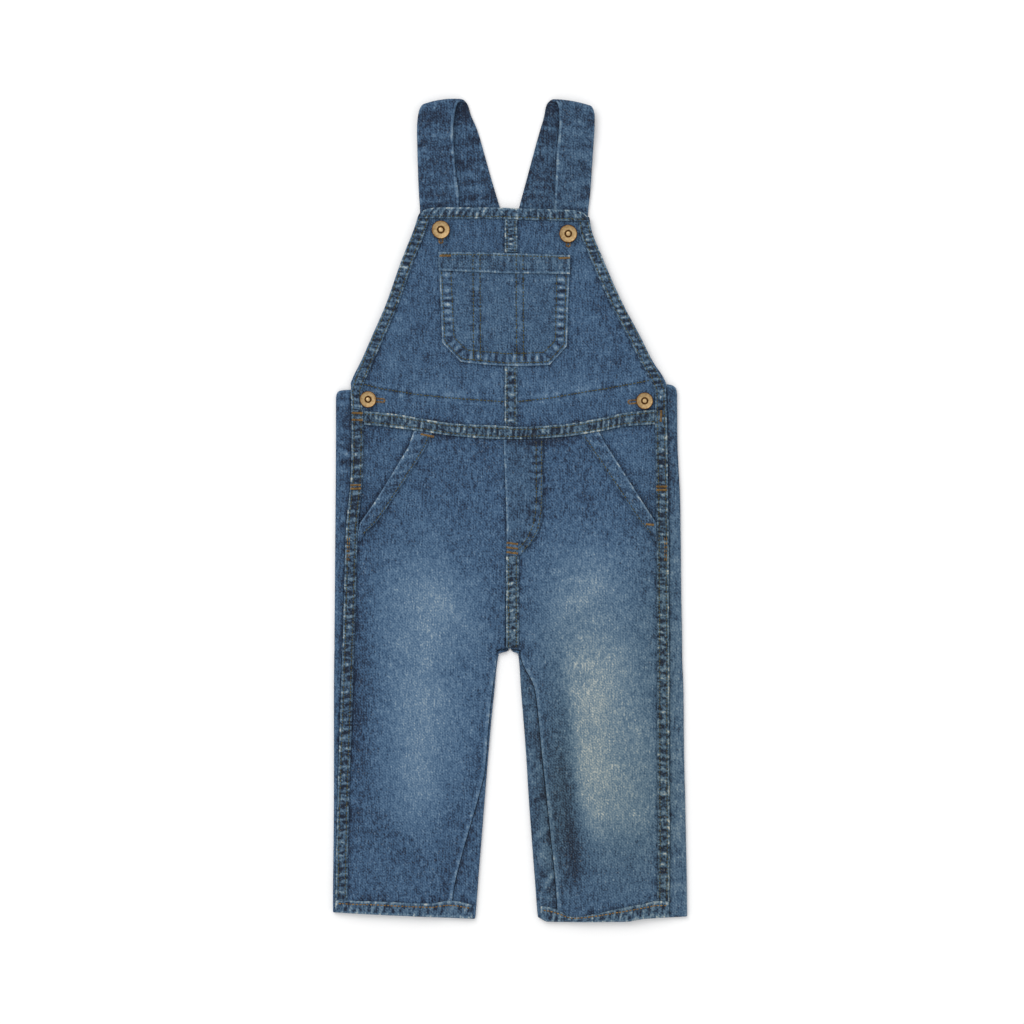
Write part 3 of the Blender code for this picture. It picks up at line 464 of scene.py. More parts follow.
def bentShell(name, middle, wearAndShade, khaki, rim, thick):
    along = np.gradient(middle, axis=0)
    across = np.gradient(middle, axis=1)
    normal = np.cross(along, across)
    normal /= np.linalg.norm(normal, axis=-1, keepdims=True)
    half = (thick / 2 - 0.9 * rolled(rim, thick / 2))[..., None]
    return closeShell(name, middle + normal * half, middle - normal * half, wearAndShade, khaki)


def edgeLine(distance):
    # the rubbed pale line just inside an edge
    return 0.85 * bell(distance - 0.6, 0.85)


def settle(piece, node, finish):
    piece.data.materials.append(finish)
    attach(piece, "root")
    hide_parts(node)


# finishes

def linear(hexColour):
    parts = [int(hexColour[i:i + 2], 16) / 255 for i in (1, 3, 5)]
    return [p / 12.92 if p <= 0.04045 else ((p + 0.055) / 1.055) ** 2.4 for p in parts] + [1.0]


def addNode(tree, kind, settings=(), values=(), links=()):
    made = tree.nodes.new(kind)
    for key, value in dict(settings).items():
        setattr(made, key, value)
    for key, value in dict(values).items():
        made.inputs[key].default_value = value
    for key, source in dict(links).items():
        tree.links.new(source, made.inputs[key])
    return made


def newFinish(name, constants):
    # a material, its node tree and its shader with its constants
    made = bpy.data.materials.new(name)
    made.use_nodes = True
    tree = made.node_tree
    shader = tree.nodes["Principled BSDF"]
    for key, value in constants.items():
        shader.inputs[key].default_value = value
    return made, tree, shader


def placeOn(tree):
    return addNode(tree, "ShaderNodeTexCoord").outputs["Object"]


def attribute(tree, name):
    return addNode(tree, "ShaderNodeAttribute", {"attribute_name": name}).outputs["Fac"]


def grains(tree, place, size, detail, roughness=0.5):
    # noise with grains of the given size in mm
    values = {"Scale": 1 / (size * mm), "Detail": detail, "Roughness": roughness}
    return addNode(tree, "ShaderNodeTexNoise", values=values, links={"Vector": place}).outputs["Fac"]


def multiplyAdd(tree, *terms):
    # first times second plus third, where each is a number or a socket
    values = {i: term for i, term in enumerate(terms) if isinstance(term, float)}
    links = {i: term for i, term in enumerate(terms) if not isinstance(term, float)}
    return addNode(tree, "ShaderNodeMath", {"operation": "MULTIPLY_ADD"}, values, links).outputs[0]


def ranged(tree, source, low, high, toLow, toHigh):
    values = {"From Min": low, "From Max": high, "To Min": toLow, "To Max": toHigh}
    return addNode(tree, "ShaderNodeMapRange", values=values, links={"Value": source}).outputs[0]


def addBump(tree, shader, height, strength, distance):
    values = {"Strength": strength, "Distance": distance * mm}
    bump = addNode(tree, "ShaderNodeBump", values=values, links={"Height": height})
    tree.links.new(bump.outputs[0], shader.inputs["Normal"])


def ramp(tree, source, stops):
    made = addNode(tree, "ShaderNodeValToRGB", links={"Fac": source})
    elements = made.color_ramp.elements
    while len(elements) < len(stops):
        elements.new(0.5)
    for element, (place, colour) in zip(elements, stops):
        element.position = place
        element.color = linear(colour)
    return made.outputs["Color"]


# Washed indigo denim: rope-dyed warp over white weft, so the blue is never even. Each thread
# has its own depth of dye, slubs run up and down, and what was rubbed turns pale. It is matt.
denim = {
    "heather": 1.3,  # mm, one or two yarns side by side, drawn coarser than the 0.5 mm weave
    "slub": (1.0, 7.0, 5.0),  # mm, across, along and in height
    "mottle": 5.5,
    "twill": 1.7,  # mm between the diagonals, drawn three times coarser than the weave to show
    "fleck": 1.0,
    "strengths": (0.92, 0.70, 0.22, 0.10),  # of heather, slub, mottle and twill
    "calm": (0.42, 0.95, 1.0, 0.62),  # how far the unevenness fades as the cloth gets paler
    "flecks": (0.72, 0.84, 0.0, 0.18),
    "bump": (0.55, 0.25),
    "stops": ((0.0, "#172134"), (0.2, "#263850"), (0.4, "#385473"), (0.6, "#4d6986"),
              (0.75, "#617b95"), (0.9, "#8094a4"), (1.0, "#a4b1ba")),
    "fleckColour": "#b9c3c9",
    "khaki": (1.17, 1.01, 0.79, 1.0),
    "constants": {
        "Roughness": 0.88, "Specular IOR Level": 0.2, "Sheen Weight": 0.06, "Sheen Roughness": 0.5,
    },
}


def denimFinish(name, contrast):
    made, tree, shader = newFinish(name, denim["constants"])
    # the wear attribute carries rubbed wear and painted shade together, and the ramp turns both into colour
    place, wearAndShade, khaki = placeOn(tree), attribute(tree, "wearAndShade"), attribute(tree, "khaki")
    heather = grains(tree, place, denim["heather"], 1.0, 0.6)
    slubScale = [1 / (size * mm) for size in denim["slub"]]
    stretched = addNode(tree, "ShaderNodeMapping", values={"Scale": slubScale}, links={"Vector": place})
    slub = grains(tree, stretched.outputs[0], 1 / mm, 1.0)
    mottle = grains(tree, place, denim["mottle"], 2.0)
    twill = addNode(
        tree, "ShaderNodeTexWave", {"bands_direction": "DIAGONAL"},
        {"Scale": 0.444 / (denim["twill"] * mm), "Distortion": 1.6, "Detail": 1.0, "Detail Scale": 1.2},
        {"Vector": place},
    ).outputs["Fac"]
    uneven = None
    for source, strength in zip((heather, slub, mottle, twill), denim["strengths"]):
        part = multiplyAdd(tree, source, strength * contrast, -strength * contrast / 2)
        if uneven is not None:
            part = addNode(tree, "ShaderNodeMath", links={0: uneven, 1: part}).outputs[0]
        uneven = part
    total = multiplyAdd(tree, uneven, ranged(tree, wearAndShade, *denim["calm"]), wearAndShade)
    blue = ramp(tree, total, denim["stops"])
    fleck = ranged(tree, grains(tree, place, denim["fleck"], 0.0), *denim["flecks"])
    pale = addNode(
        tree, "ShaderNodeMix", {"data_type": "RGBA"}, {7: linear(denim["fleckColour"])}, {0: fleck, 6: blue},
    ).outputs[2]
    tinted = addNode(
        tree, "ShaderNodeMix", {"data_type": "RGBA", "blend_type": "MULTIPLY"}, {7: denim["khaki"]},
        {0: khaki, 6: pale},
    ).outputs[2]
    tree.links.new(tinted, shader.inputs["Base Color"])
    addBump(tree, shader, multiplyAdd(tree, twill, 0.35, heather), *denim["bump"])
    return made


# Spun cotton topstitch thread: matt, round, with a faint twist and uneven dye
def threadFinish(name, colour, dark):
    made, tree, shader = newFinish(name, {"Roughness": 0.8, "Specular IOR Level": 0.3})
    shade = ramp(tree, grains(tree, placeOn(tree), 2.2, 2.0), ((0.3, dark), (0.7, colour)))
    tree.links.new(shade, shader.inputs["Base Color"])
    return made


# Antique brass: stamped and tumbled, bright on its face, brown patina in its sunk ring and darker towards its
# rolled rim
def brassFinish():
    made, tree, shader = newFinish("antique stamped brass", {"Metallic": 1.0})
    grain = grains(tree, placeOn(tree), 1.6, 3.0)
    total = multiplyAdd(tree, grain, 0.5, attribute(tree, "recessAndRimDark"))
    shade = ramp(tree, total, ((0.15, "#d6bb90"), (0.35, "#b79c72"), (0.7, "#6b4825"), (1.0, "#2a1b0e")))
    tree.links.new(shade, shader.inputs["Base Color"])
    tree.links.new(ranged(tree, total, 0.0, 1.0, 0.48, 0.60), shader.inputs["Roughness"])
    addBump(tree, shader, grain, 0.2, 0.1)
    return made


panelDenim = denimFinish("washed indigo denim", 1.0)
seamDenim = denimFinish("felled seam denim, roped and rubbed", 1.05)
oliveThread = threadFinish("olive cotton topstitch thread", "#5c5a39", "#383826")
tanThread = threadFinish("tan cotton topstitch thread", "#9c7b48", "#5e4728")
brass = brassFinish()
print("finishes made")


# leg fronts

legFront = {"step": 1.5, "edgeWear": 0.30, "slitEnd": -22.0, "rounds": 5, "width": 116.0}


def bentRow(x, row, side):
    # rows near the waist follow the waist seam, rows near the hem follow the hem
    near = smooth((row - waistRow + shape["waistFlow"]) / shape["waistFlow"])
    return row + (waistMiddle(x) - shape["waistGap"] - waistRow) * near + hemShift(x, row, side)


crotchRows = (-103.0, -103.6, -104.1, crotch, -105.4, -106.2, -107.0)  # close together at the crotch


def legRowsDown(top, step):
    first, last = crotchRows[0], crotchRows[-1]
    upper = np.linspace(top, first, int((top - first) / step))
    lower = np.linspace(last, hemRow + rimSteps[1], int((last - hemRow) / step))
    return np.concatenate((upper, crotchRows[1:-1], lower, [hemRow + rimSteps[0], hemRow]))


def makeLegFront(side):
    inn = inward(side)
    v = shares(legFront["width"], legFront["step"])[None, :]
    row = legRowsDown(waistRow, legFront["step"])[:, None]
    y = np.broadcast_to(row, (row.shape[0], v.shape[1])).copy()
    for _ in range(legFront["rounds"]):
        at = np.where(row > legFront["slitEnd"], y, row)
        atSide = curve(legRows[side], "side", at) + gap / 2 * inn
        outer = np.where(at > legFront["slitEnd"], opening(side, at), atSide)
        inner = curve(legRows[side], "front", at)
        x = mix(outer, inner, v)
        y = bentRow(x, row, side)
    ripple, close = pucker(x, y)
    toInner = np.abs(inner - x)
    toOuter = np.abs(x - outer)
    rim = np.minimum(np.minimum(toInner, toOuter), row - hemRow)
    below = smooth((crotch - y) / 6.0)
    # right beside a seam the cloth is darker: painted contact shadow
    wearAndShade = clothWearAndShade(x, y) + ripples["wearAndShade"] * ripple - ripples["line"] * close
    wearAndShade += legFront["edgeWear"] * below * bell(toInner - 1.0, 1.5) * (0.8 + 0.6 * noise(y / 3.0, 0.0, 31))
    # a darker band a little inside the inseam: painted shade of the trough beside it
    wearAndShade -= 0.08 * below * bell(toInner - 4.4, 2.0)
    z = panelHeight(x, y) + ripples["legHeight"] * ripple * smooth(toInner / 4.0)
    piece = clothShell(f"leg_front_{side}_cloth", x, y, z, wearAndShade, yellowing(x, y), rim)
    settle(piece, f"leg_front_{side}", panelDenim)


for side in sides:
    makeLegFront(side)
print("leg fronts made")


# leg backs, wrapped round the side and inner folds

legBack = {
    "step": 1.2, "fold": 7, "strip": 13, "floor": 10, "crotchCurl": 0.9, "wearAndShade": 0.345,
    "crinkle": 0.16, "crinkleWear": 0.15, "creaseShading": 0.55, "rimShade": 0.16,
    "pale": {"left": 0.02, "right": 0.16}, "khaki": {"left": 0.05, "right": 0.22},
}
stripCreases = {  # creases of the side strips: from, to, width and height
    "left": (
        (-131, 50, -119, 45.5, 1.1, -0.42), (-131, 46, -121, 42, 1.6, 0.35),
        (-131, 34.5, -120, 37.5, 1.1, -0.42), (-131, 28.5, -122, 31, 2.6, 0.35),
        (-131, -8, -124, -12, 1.6, -0.25), (-132, -150, -126, -154, 1.8, -0.25),
        (-46, -262, -36, -250, 1.4, 0.40), (-46, -276, -36, -280, 1.6, -0.35),
        (-40, -232, -33, -222, 1.4, 0.30),
    ),
    "right": (
        (125, 58, 118, 50, 1.6, -0.35), (125, 52, 118, 46, 1.6, 0.30),
        (127, 28, 119, 22, 1.6, -0.30), (129, -60, 120, -64, 1.8, -0.25),
        (131, -180, 121, -186, 1.8, 0.25), (132, -252, 121, -258, 1.8, -0.25),
        (6, -160, 16, -186, 1.4, 0.35), (10, -203, 23, -191, 1.3, 0.40),
        (12, -222, 25, -214, 1.6, -0.40), (13, -251, 29, -236.5, 1.2, 0.55),
        (25, -250.5, 21.5, -263, 1.3, 0.45), (24, -258, 33, -265, 1.2, 0.45),
        (15, -268, 27, -274, 1.6, -0.45), (22.5, -288.5, 33, -270, 1.4, 0.55),
    ),
}


def wrapPoint(centre, direction, length):
    angle = np.minimum(length, halfTurn) / foldRadius
    past = np.maximum(0.0, length - halfTurn)
    x = centre + direction * (foldRadius * np.sin(angle) - past)
    return x, cloth / 2 + foldRadius * (1 - np.cos(angle))


def wrapLengths(total):
    round_ = np.minimum(total * 0.9, halfTurn)
    turn = round_ * np.linspace(0, 1, legBack["fold"] + 1)[None, 1:]
    rest = 1 - (1 - np.linspace(0, 1, legBack["strip"] + 1)[None, 1:]) ** 1.35
    return np.concatenate((turn, round_ + (total - round_) * rest), 1)


def makeLegBack(side):
    inn = inward(side)
    rows = legRows[side]
    y = legRowsDown(seatTop, legBack["step"])[:, None]
    outerCentre = curve(rows, "fold", y) + foldReach * inn
    innerCentre = curve(rows, "inner", y) - foldReach * inn
    outerWrap = halfTurn + (curve(rows, "side", y) - outerCentre) * inn - gap / 2
    innerWrap = halfTurn + (innerCentre - curve(rows, "front", y)) * inn - gap * 1.5
    innerWrap = np.where(y < crotch, innerWrap, legBack["crotchCurl"])
    outerLengths = wrapLengths(outerWrap)
    innerLengths = wrapLengths(innerWrap)
    innerX, innerZ = wrapPoint(innerCentre, inn, innerLengths[:, ::-1])
    outerX, outerZ = wrapPoint(outerCentre, -inn, outerLengths)
    floorX = mix(innerCentre, outerCentre, np.linspace(0, 1, legBack["floor"])[None, :] ** 0.6)
    x = np.concatenate((innerX, floorX, outerX), 1)
    z = np.concatenate((innerZ, np.full(floorX.shape, cloth / 2), outerZ), 1)
    floor = np.zeros(floorX.shape)
    flatInner = smooth((innerLengths[:, ::-1] - halfTurn) / 2)
    flat = np.concatenate((flatInner, floor, smooth((outerLengths - halfTurn) / 2)), 1)
    rimInner = (innerWrap - innerLengths)[:, ::-1]
    rimOuter = outerWrap - outerLengths
    rim = np.concatenate((rimInner, floor + 9, rimOuter), 1)
    hem = hemShift(x, y, side)
    rim = np.minimum(rim, np.minimum(y - hemRow, seatTop - y))
    topRim = seatTop - y + 0 * x
    y = y + hem + curve(seatRows[side], "rise", x) * smooth((y - waistRow) / shape["waistFlow"])
    crinkle = 0.6 * noise(x / 9, y / 4.2, 41) + 0.4 * noise(x / 4, y / 2.4, 42)
    crease = np.zeros(x.shape)
    for line in stripCreases[side]:
        crease = crease + line[5] * bell(foldDistance(x, y, line), line[4])
    z = z + (legBack["crinkle"] * crinkle + crease) * flat * smooth(rim / 2.0)
    pale = legBack["pale"][side] * smooth((20.0 - y) / 60.0) * smooth((np.abs(x) - 60.0) / 20.0)
    wearAndShade = legBack["wearAndShade"] + pale + 0.05 * noise(x / 8, y / 14, 43)
    # crinkles rub paler where raised; the strip's creases are painted shading, darker in their troughs and
    # paler on their ridges
    wearAndShade = wearAndShade + flat * (legBack["crinkleWear"] * crinkle + legBack["creaseShading"] * crease)
    # paler where the strip turns flat; the fades table adds its washed patches and its painted shade here too
    wearAndShade = wearAndShade + 0.06 * bell(flat - 0.3, 0.3) + 0.25 * blobs(x, y, fadesAndShade) * flat
    wearAndShade = wearAndShade - legBack["rimShade"] * flat * bell(rim, 1.8)
    wearAndShade = wearAndShade + 0.40 * edgeLine(topRim) - 0.16 * bell(topRim - 6.5, 0.9)
    middle = np.stack((x, y, z), -1)
    khaki = yellowing(x, y) + legBack["khaki"][side]
    piece = bentShell(f"leg_back_{side}_cloth", middle, wearAndShade, khaki, rim, cloth)
    settle(piece, f"leg_back_{side}", panelDenim)


for side in sides:
    makeLegBack(side)
print("leg backs made")


# hip pocket facings

facing = {"step": 1.5, "bottom": -19.0, "size": (50.0, 79.0), "wearAndShade": 0.42, "shade": 0.16, "rounds": 5}


def makeFacing(side):
    inn = inward(side)
    v = shares(facing["size"][0], facing["step"])[None, :]
    row = mix(waistRow, facing["bottom"], shares(facing["size"][1], facing["step"]))[:, None]
    y = np.broadcast_to(row, (row.shape[0], v.shape[1])).copy()
    for _ in range(facing["rounds"]):
        seam = curve(legRows[side], "side", y) + gap / 2 * inn
        tuck = mix(1.5, 7.0, smooth((y - facing["bottom"]) / 30.0))
        inner = opening(side, y) + tuck * inn
        x = mix(seam, inner, v)
        y = bentRow(x, row, side)
    z = facingHeight(x, y, side)
    toSlit = np.abs(x - opening(side, y))
    wearAndShade = clothWearAndShade(x, y, facing["wearAndShade"]) - facing["shade"] * bell(toSlit, 3.0)
    wearAndShade += 0.05 * noise(x / 7, y / 4, 51)
    rim = np.minimum(np.minimum(np.abs(x - seam), np.abs(inner - x)), row - facing["bottom"])
    piece = clothShell(f"pocket_facing_{side}_cloth", x, y, z, wearAndShade, yellowing(x, y), rim)
    settle(piece, f"pocket_facing_{side}", panelDenim)


for side in sides:
    makeFacing(side)
print("pocket facings made")


# bib halves

bib = {"step": 1.5, "width": 95.0, "waistFlow": 60.0, "tiltFlow": 25.0, "cornerFlow": 6.0}


def bibEdge(side, y):
    low = curve(legRows[side], "side", y) + gap / 2 * inward(side)
    return np.where(y < seatTop, low, curve(bibRows, side, y))


def bibPoint(x, row):
    # rows near the bib's top follow its sloping edge
    tilt = curve(bibTopRows, "tilt", x) * smooth((row - bibTop + bibHem + bib["tiltFlow"]) / bib["tiltFlow"])
    round_ = curve(bibTopRows, "corner", x) * smooth((row - bibTop + bib["cornerFlow"]) / bib["cornerFlow"])
    return x, row - tilt - round_


def makeBibHalf(side):
    inn = inward(side)
    seam = bibSeamX - gap / 2 * inn
    v = shares(bib["width"], bib["step"])[None, :]
    row = mix(bibTop, waistRow, shares(bibTop - waistRow, bib["step"]))[:, None]
    edge = bibEdge(side, row)
    x = mix(edge, seam, v)
    near = smooth((waistRow + bib["waistFlow"] - row) / bib["waistFlow"])
    y = bibPoint(x, row)[1] + (waistMiddle(x) + shape["waistGap"] - waistRow) * near
    ripple, close = pucker(x, y)
    rim = np.minimum(np.minimum(np.abs(x - edge), np.abs(seam - x)), np.minimum(bibTop - row, row - waistRow))
    z = frontHeight(x, y) + ripples["bibHeight"] * ripple
    # right beside a seam the cloth is darker: painted contact shadow
    wearAndShade = clothWearAndShade(x, y) + ripples["wearAndShade"] * ripple - ripples["line"] * close
    for line in bibLowerLines:
        off, place = alongLine(x, y, line)
        wearAndShade += 0.13 * bell(off - 2.4, 1.3) * (0.8 + 0.7 * noise(place / 2.4, 0.0, 32))
    piece = clothShell(f"bib_{side}_cloth", x, y, z, wearAndShade, yellowing(x, y), rim)
    settle(piece, f"bib_{side}", panelDenim)


for side in sides:
    makeBibHalf(side)
print("bib made")


# seams, hems and the pocket: strips whose plan is given along (u) and across (v)

seamEnds = {"side": -288.0, "sideFlow": 38.0, "slit": -9.0, "pocket": -23.0, "flyTop": 53.0, "fly": -34.0,
            "crotch": -102.6}


def sidePlan(side):
    def plan(u, v):
        row = mix(sideTopY, seamEnds["side"], u)
        x = curve(legRows[side], "side", row) + bandWidth * v * inward(side)
        hem = curve(hemRows[side], "band", x) + gap
        near = smooth((seamEnds["side"] + seamEnds["sideFlow"] - row) / seamEnds["sideFlow"])
        return x, row + (hem - seamEnds["side"]) * near
    return plan


def pocketEdgePlan(side):
    inn = inward(side)
    top = 54.6 if side == "left" else 57.0
    slitEnd, bottom = seamEnds["slit"], seamEnds["pocket"]
    rows = np.concatenate((np.linspace(top, slitEnd, 10), [(slitEnd + bottom) / 2, bottom]))
    slit = opening(side, rows)
    band = curve(legRows[side], "side", rows) + (bandWidth + gap) * inn
    outer = np.where(rows < slitEnd, band, slit + gap * inn)
    tail = band + (2.0 + (rows - bottom) / 2.0) * inn
    inner = np.where(rows < slitEnd, tail, slit + mix(12.5, 14.0, smooth(rows / top)) * inn)

    def plan(u, v):
        row = mix(top, bottom, u)
        outerAt = np.interp(-row, -rows, outer)
        innerAt = np.interp(-row, -rows, inner)
        x = mix(outerAt, innerAt, v)
        low = curve(waistRows, "lower", x) - gap
        y = row + (low - top) * smooth((row - top + 8.0) / 8.0)
        return x, np.minimum(y, low)
    return plan


def hemPlan(side):
    inn = inward(side)
    seam = float(curve(legRows[side], "side", hemRow))
    inner = float(curve(legRows[side], "inner", hemRow)) - (foldReach + 0.4) * inn
    ends = (min(seam, inner), max(seam, inner))

    def plan(u, v):
        x = mix(ends[0], ends[1], u) + 0 * v
        return x, mix(curve(hemRows[side], "band", x), curve(hemRows[side], "bottom", x) + 0.3, v)
    return plan


def waistPlan(u, v):
    left = float(curve(legRows["left"], "side", 68.0)) + bandWidth + gap
    right = float(curve(legRows["right"], "side", 68.0)) - bandWidth - gap
    x = mix(left, right, u) + 0 * v
    return x, mix(curve(waistRows, "upper", x), curve(waistRows, "lower", x), v)


def flyPlan(u, v):
    top = seamEnds["flyTop"]
    row = mix(top, seamEnds["fly"], u)
    x = mix(curve(flyRows, "left", row), curve(flyRows, "right", row), v)
    low = curve(waistRows, "lower", x) - gap
    return x, row + (low - top) * smooth((row - top + 20.0) / 20.0)


def crotchPlan(u, v):
    return mix(-2.9, 6.7, v) + 0 * u, mix(seamEnds["fly"] - gap, seamEnds["crotch"], u) + 0 * v


def bibTopPlan(u, v):
    y = mix(bibTop, bibTop - bibHem, v) + 0 * u
    return bibPoint(mix(curve(bibRows, "left", y), curve(bibRows, "right", y), u), y)


def bibSidePlan(side):
    def plan(u, v):
        y = mix(bibTop - bibHem - gap, sideTopY + gap, u) + 0 * v
        width = mix(bandWidth - 0.5, bandWidth + gap, smooth((y - seatTop) / 20.0))
        return bibPoint(bibEdge(side, y) + width * v * inward(side), y)
    return plan


def middleSeamPlan(top, bottom):
    def plan(u, v):
        return bibPoint(mix(bibSeamX - 0.2, 5.5, v) + 0 * u, mix(top, bottom, u) + 0 * v)
    return plan


def pocketPlan(u, v):
    places = np.array((0.0, 0.255, 0.54, 0.80, 0.90, 1.0))
    leftX, leftY, rightX, rightY, sag = (np.interp(u, places, column) for column in pocketPoints.T)
    return mix(leftX, rightX, v), mix(leftY, rightY, v) + sag * 4 * v * (1 - v)


def pocketHemPlan(u, v):
    leftX, leftY, rightX, rightY, sag = pocketPoints[0]
    x, y = mix(leftX, rightX, u), mix(leftY, rightY, u) + sag * 4 * u * (1 - u)
    middle = np.maximum(0.0, 1 - np.abs(x + 4.0) / 50.0)
    return x * (1 - 0.004 * v), y - pocketHem * v - 1.2 * v * middle


def onPocket(x, y):
    return frontHeight(x, y) + gap + cloth


# each kind of strip: its length and width in mm, its stitch rows across, how strongly it ropes,
# how far its puffs are apart, how pale its long edges and its ends are rubbed, its own wear,
# its khaki tone and the lean of its puffs
stripNames = "size rows rope period edges ends base khaki lean".split()
strips = {kind: dict(zip(stripNames, values)) for kind, *values in (
    ("side", (363, 9.0), (1.9, 7.2), 1.0, 6.6, (0.46, 0.10), 0.0, 0.335, 0.50, 0.12),
    ("pocketEdge", (90, 13.0), (11.2,), 0.38, 9.0, (0.54, 0.0), 0.0, 0.39, 0.10, 0.4),
    ("hem", (96, 9.6), (2.6,), 0.8, 5.6, (0.42, 0.40), 0.1, 0.41, 0.40, 0.3),
    ("waist", (220, 9.8), (2.0, 7.7), 1.0, 4.4, (0.50, 0.50), 0.1, 0.37, 0.65, 0.15),
    ("fly", (88, 27.0), (), 0.0, 5.0, (0.48, 0.0), 0.0, 0.37, 0.22, 0.2),
    ("crotch", (68, 9.6), (1.9, 7.6), 1.0, 5.0, (0.44, 0.10), 0.0, 0.36, 0.55, 0.2),
    ("bibTop", (122, 8.4), (6.6,), 1.0, 5.2, (0.55, 0.20), 0.2, 0.345, 0.45, 0.05),
    ("bibSide", (150, 9.0), (1.8, 7.2), 1.0, 5.0, (0.32, 0.20), 0.0, 0.355, 0.40, -0.15),
    ("middle", (34, 9.4), (1.7, 7.6), 1.1, 5.2, (0.50, 0.25), 0.0, 0.39, 0.45, 0.1),
    ("pocket", (88, 96.0), (), 0.0, 5.0, (0.48, 0.48), 0.48, 0.39, 0.14, 0.0),
    ("pocketHem", (98, 14.0), (11.8,), 0.35, 5.6, (0.38, 0.52), 0.38, 0.375, 0.30, 0.1),
)}
pocketRowsX = (-27.6, -22.4, 4.6, 9.8)  # vertical stitch rows of the bib pocket
relief = {
    "ladder": 0.62, "uneven": 0.55, "puff": 0.85, "fine": 0.70, "wearAndShade": 0.50, "rowWear": 0.10,
    "height": 0.22, "rowDepth": 0.22, "rowWidth": 0.75, "fadeAndShade": 0.55,
}


def pocketRelief(x, y):
    # puffs between the border's two stitch rows, and dents at the vertical rows
    outline = [
        (-53.6, 200), (-51.1, 125.6), (-36.8, 110.5), (-3, 107.6), (29.7, 108.4), (42.9, 123.4), (45.1, 200),
    ]
    off, place = alongLine(x, y, outline)
    border = 0.9 * bell(off - 5.8, 3.8)
    puff = (0.6 * np.sin(math.tau * place / 5.6) + 0.8 * noise(place / 1.8, off / 5.0, 61)) * border
    dent = bell(off - 2.4, 0.8) + bell(off - 9.4, 0.8)
    for number, rowX in enumerate(pocketRowsX):
        close = bell(x - rowX, 0.8) * smooth((off - 1.5) / 2.0)
        dent = dent + close
        puff = puff + 0.42 * noise(y / 1.8, number, 62) * bell(x - rowX, 2.6)
    return puff, dent


def flyRelief(x, y):
    # the curved rows pucker the flap's outer half
    curveLine = [(19.6, 52.0), (19.8, 6.0), (17.6, -12.0), (11.6, -24.0), (2.0, -33.0)]
    off, place = alongLine(x, y, curveLine)
    puff = 0.65 * noise(place / 1.7 + off * 0.12, off / 3.0, 63) * bell(off - 1.0, 3.6)
    puff = puff - 0.08 * bell(off - 1.2, 2.4)
    dent = bell(off - 0.2, 0.8) + bell(off - 5.0, 0.8) * (x > 12)
    return puff, dent


def stripTop(plan, kind, base, number):
    # gives the strip's upper side: place, height, wear with painted shade and how far its nearest rims are
    spec = strips[kind]
    length, width = spec["size"]

    def top(u, v):
        x, y = plan(u, v)
        x, y = np.broadcast_arrays(x, y)
        along, across = u * length + 0 * v, v * width + 0 * u
        lean = along + spec["lean"] * across
        wave = np.sin(math.tau * lean / spec["period"] + 2.4 * noise(along / 16.0, 0.0, number + 400))
        ladder = 2.0 * (0.5 + 0.5 * wave) ** 2.4 - 0.75
        ladder = ladder * mix(0.5, 1.0, smooth(0.5 + noise(along / 11.0, 4.0, number + 500)))
        ridges = relief["ladder"] * ladder + relief["uneven"] * noise(lean / 1.7, across / 4.5, number)
        fine = noise(lean / 0.95, across / 1.5, number + 100)
        swell = np.sin(math.pi * np.clip(v, 0, 1))
        rope = spec["rope"] * (relief["puff"] * ridges * mix(0.4, 1.0, swell) + relief["fine"] * fine)
        dent = sum((bell(across - row, relief["rowWidth"]) for row in spec["rows"]), np.zeros(x.shape))
        if kind in ("pocket", "fly"):
            puff, dent = pocketRelief(x, y) if kind == "pocket" else flyRelief(x, y)
            rope = rope + puff
        first, second = np.minimum(across, 99), width - across
        ends = np.minimum(along, length - along)
        alongEdge, acrossEdge = spec["edges"]
        uneven = 0.78 + 0.6 * noise(along / 2.2, 3.3, number + 200)
        # the washed patches and the painted shade of the fades table reach the seams and hems too
        wearAndShade = spec["base"] + relief["fadeAndShade"] * blobs(x, y, fadesAndShade)
        wearAndShade = wearAndShade + relief["wearAndShade"] * rope - relief["rowWear"] * dent
        wearAndShade = wearAndShade + (alongEdge * edgeLine(first) + acrossEdge * edgeLine(second)) * uneven
        wearAndShade = wearAndShade + 0.06 * noise(x / 5, y / 7, number + 300) + spec["ends"] * edgeLine(ends) * uneven
        z = base(x, y) + gap + cloth + relief["height"] * rope - relief["rowDepth"] * np.minimum(dent, 1.0)
        return x, y, z, wearAndShade, np.minimum(np.minimum(first, second), ends)
    return top


def makeStrip(node, plan, kind, base, number, step=0.8, finish=seamDenim):
    length, width = strips[kind]["size"]
    u, v = shares(length, step)[:, None], shares(width, step)[None, :]
    top = stripTop(plan, kind, base, number)
    x, y, z, wearAndShade, rim = top(u, v)
    piece = clothShell(f"{node}_cloth", x, y, z, wearAndShade, yellowing(x, y) + strips[kind]["khaki"], rim)
    settle(piece, node, finish)
    tops[node] = (kind, top)


tops = {}
for side in sides:
    shift = 0 if side == "left" else 1
    for name, plan, kind, base in (
        ("side_seam_", sidePlan(side), "side", panelHeight),
        ("pocket_edge_", pocketEdgePlan(side), "pocketEdge", panelHeight),
        ("leg_hem_", hemPlan(side), "hem", panelHeight),
        ("bib_side_hem_", bibSidePlan(side), "bibSide", frontHeight),
    ):
        makeStrip(name + side, plan, kind, base, 70 + len(tops) + shift)
for name, plan, kind, base in (
    ("waist_seam", waistPlan, "waist", panelHeight),
    ("crotch_seam", crotchPlan, "crotch", panelHeight),
    ("bib_top_hem", bibTopPlan, "bibTop", frontHeight),
    ("bib_seam_upper", middleSeamPlan(bibTop - bibHem - gap, 193.2), "middle", frontHeight),
    ("bib_seam_lower", middleSeamPlan(107.8, 63.4), "middle", frontHeight),
):
    makeStrip(name, plan, kind, base, 70 + len(tops))
makeStrip("fly_flap", flyPlan, "fly", panelHeight, 90, 1.0, panelDenim)
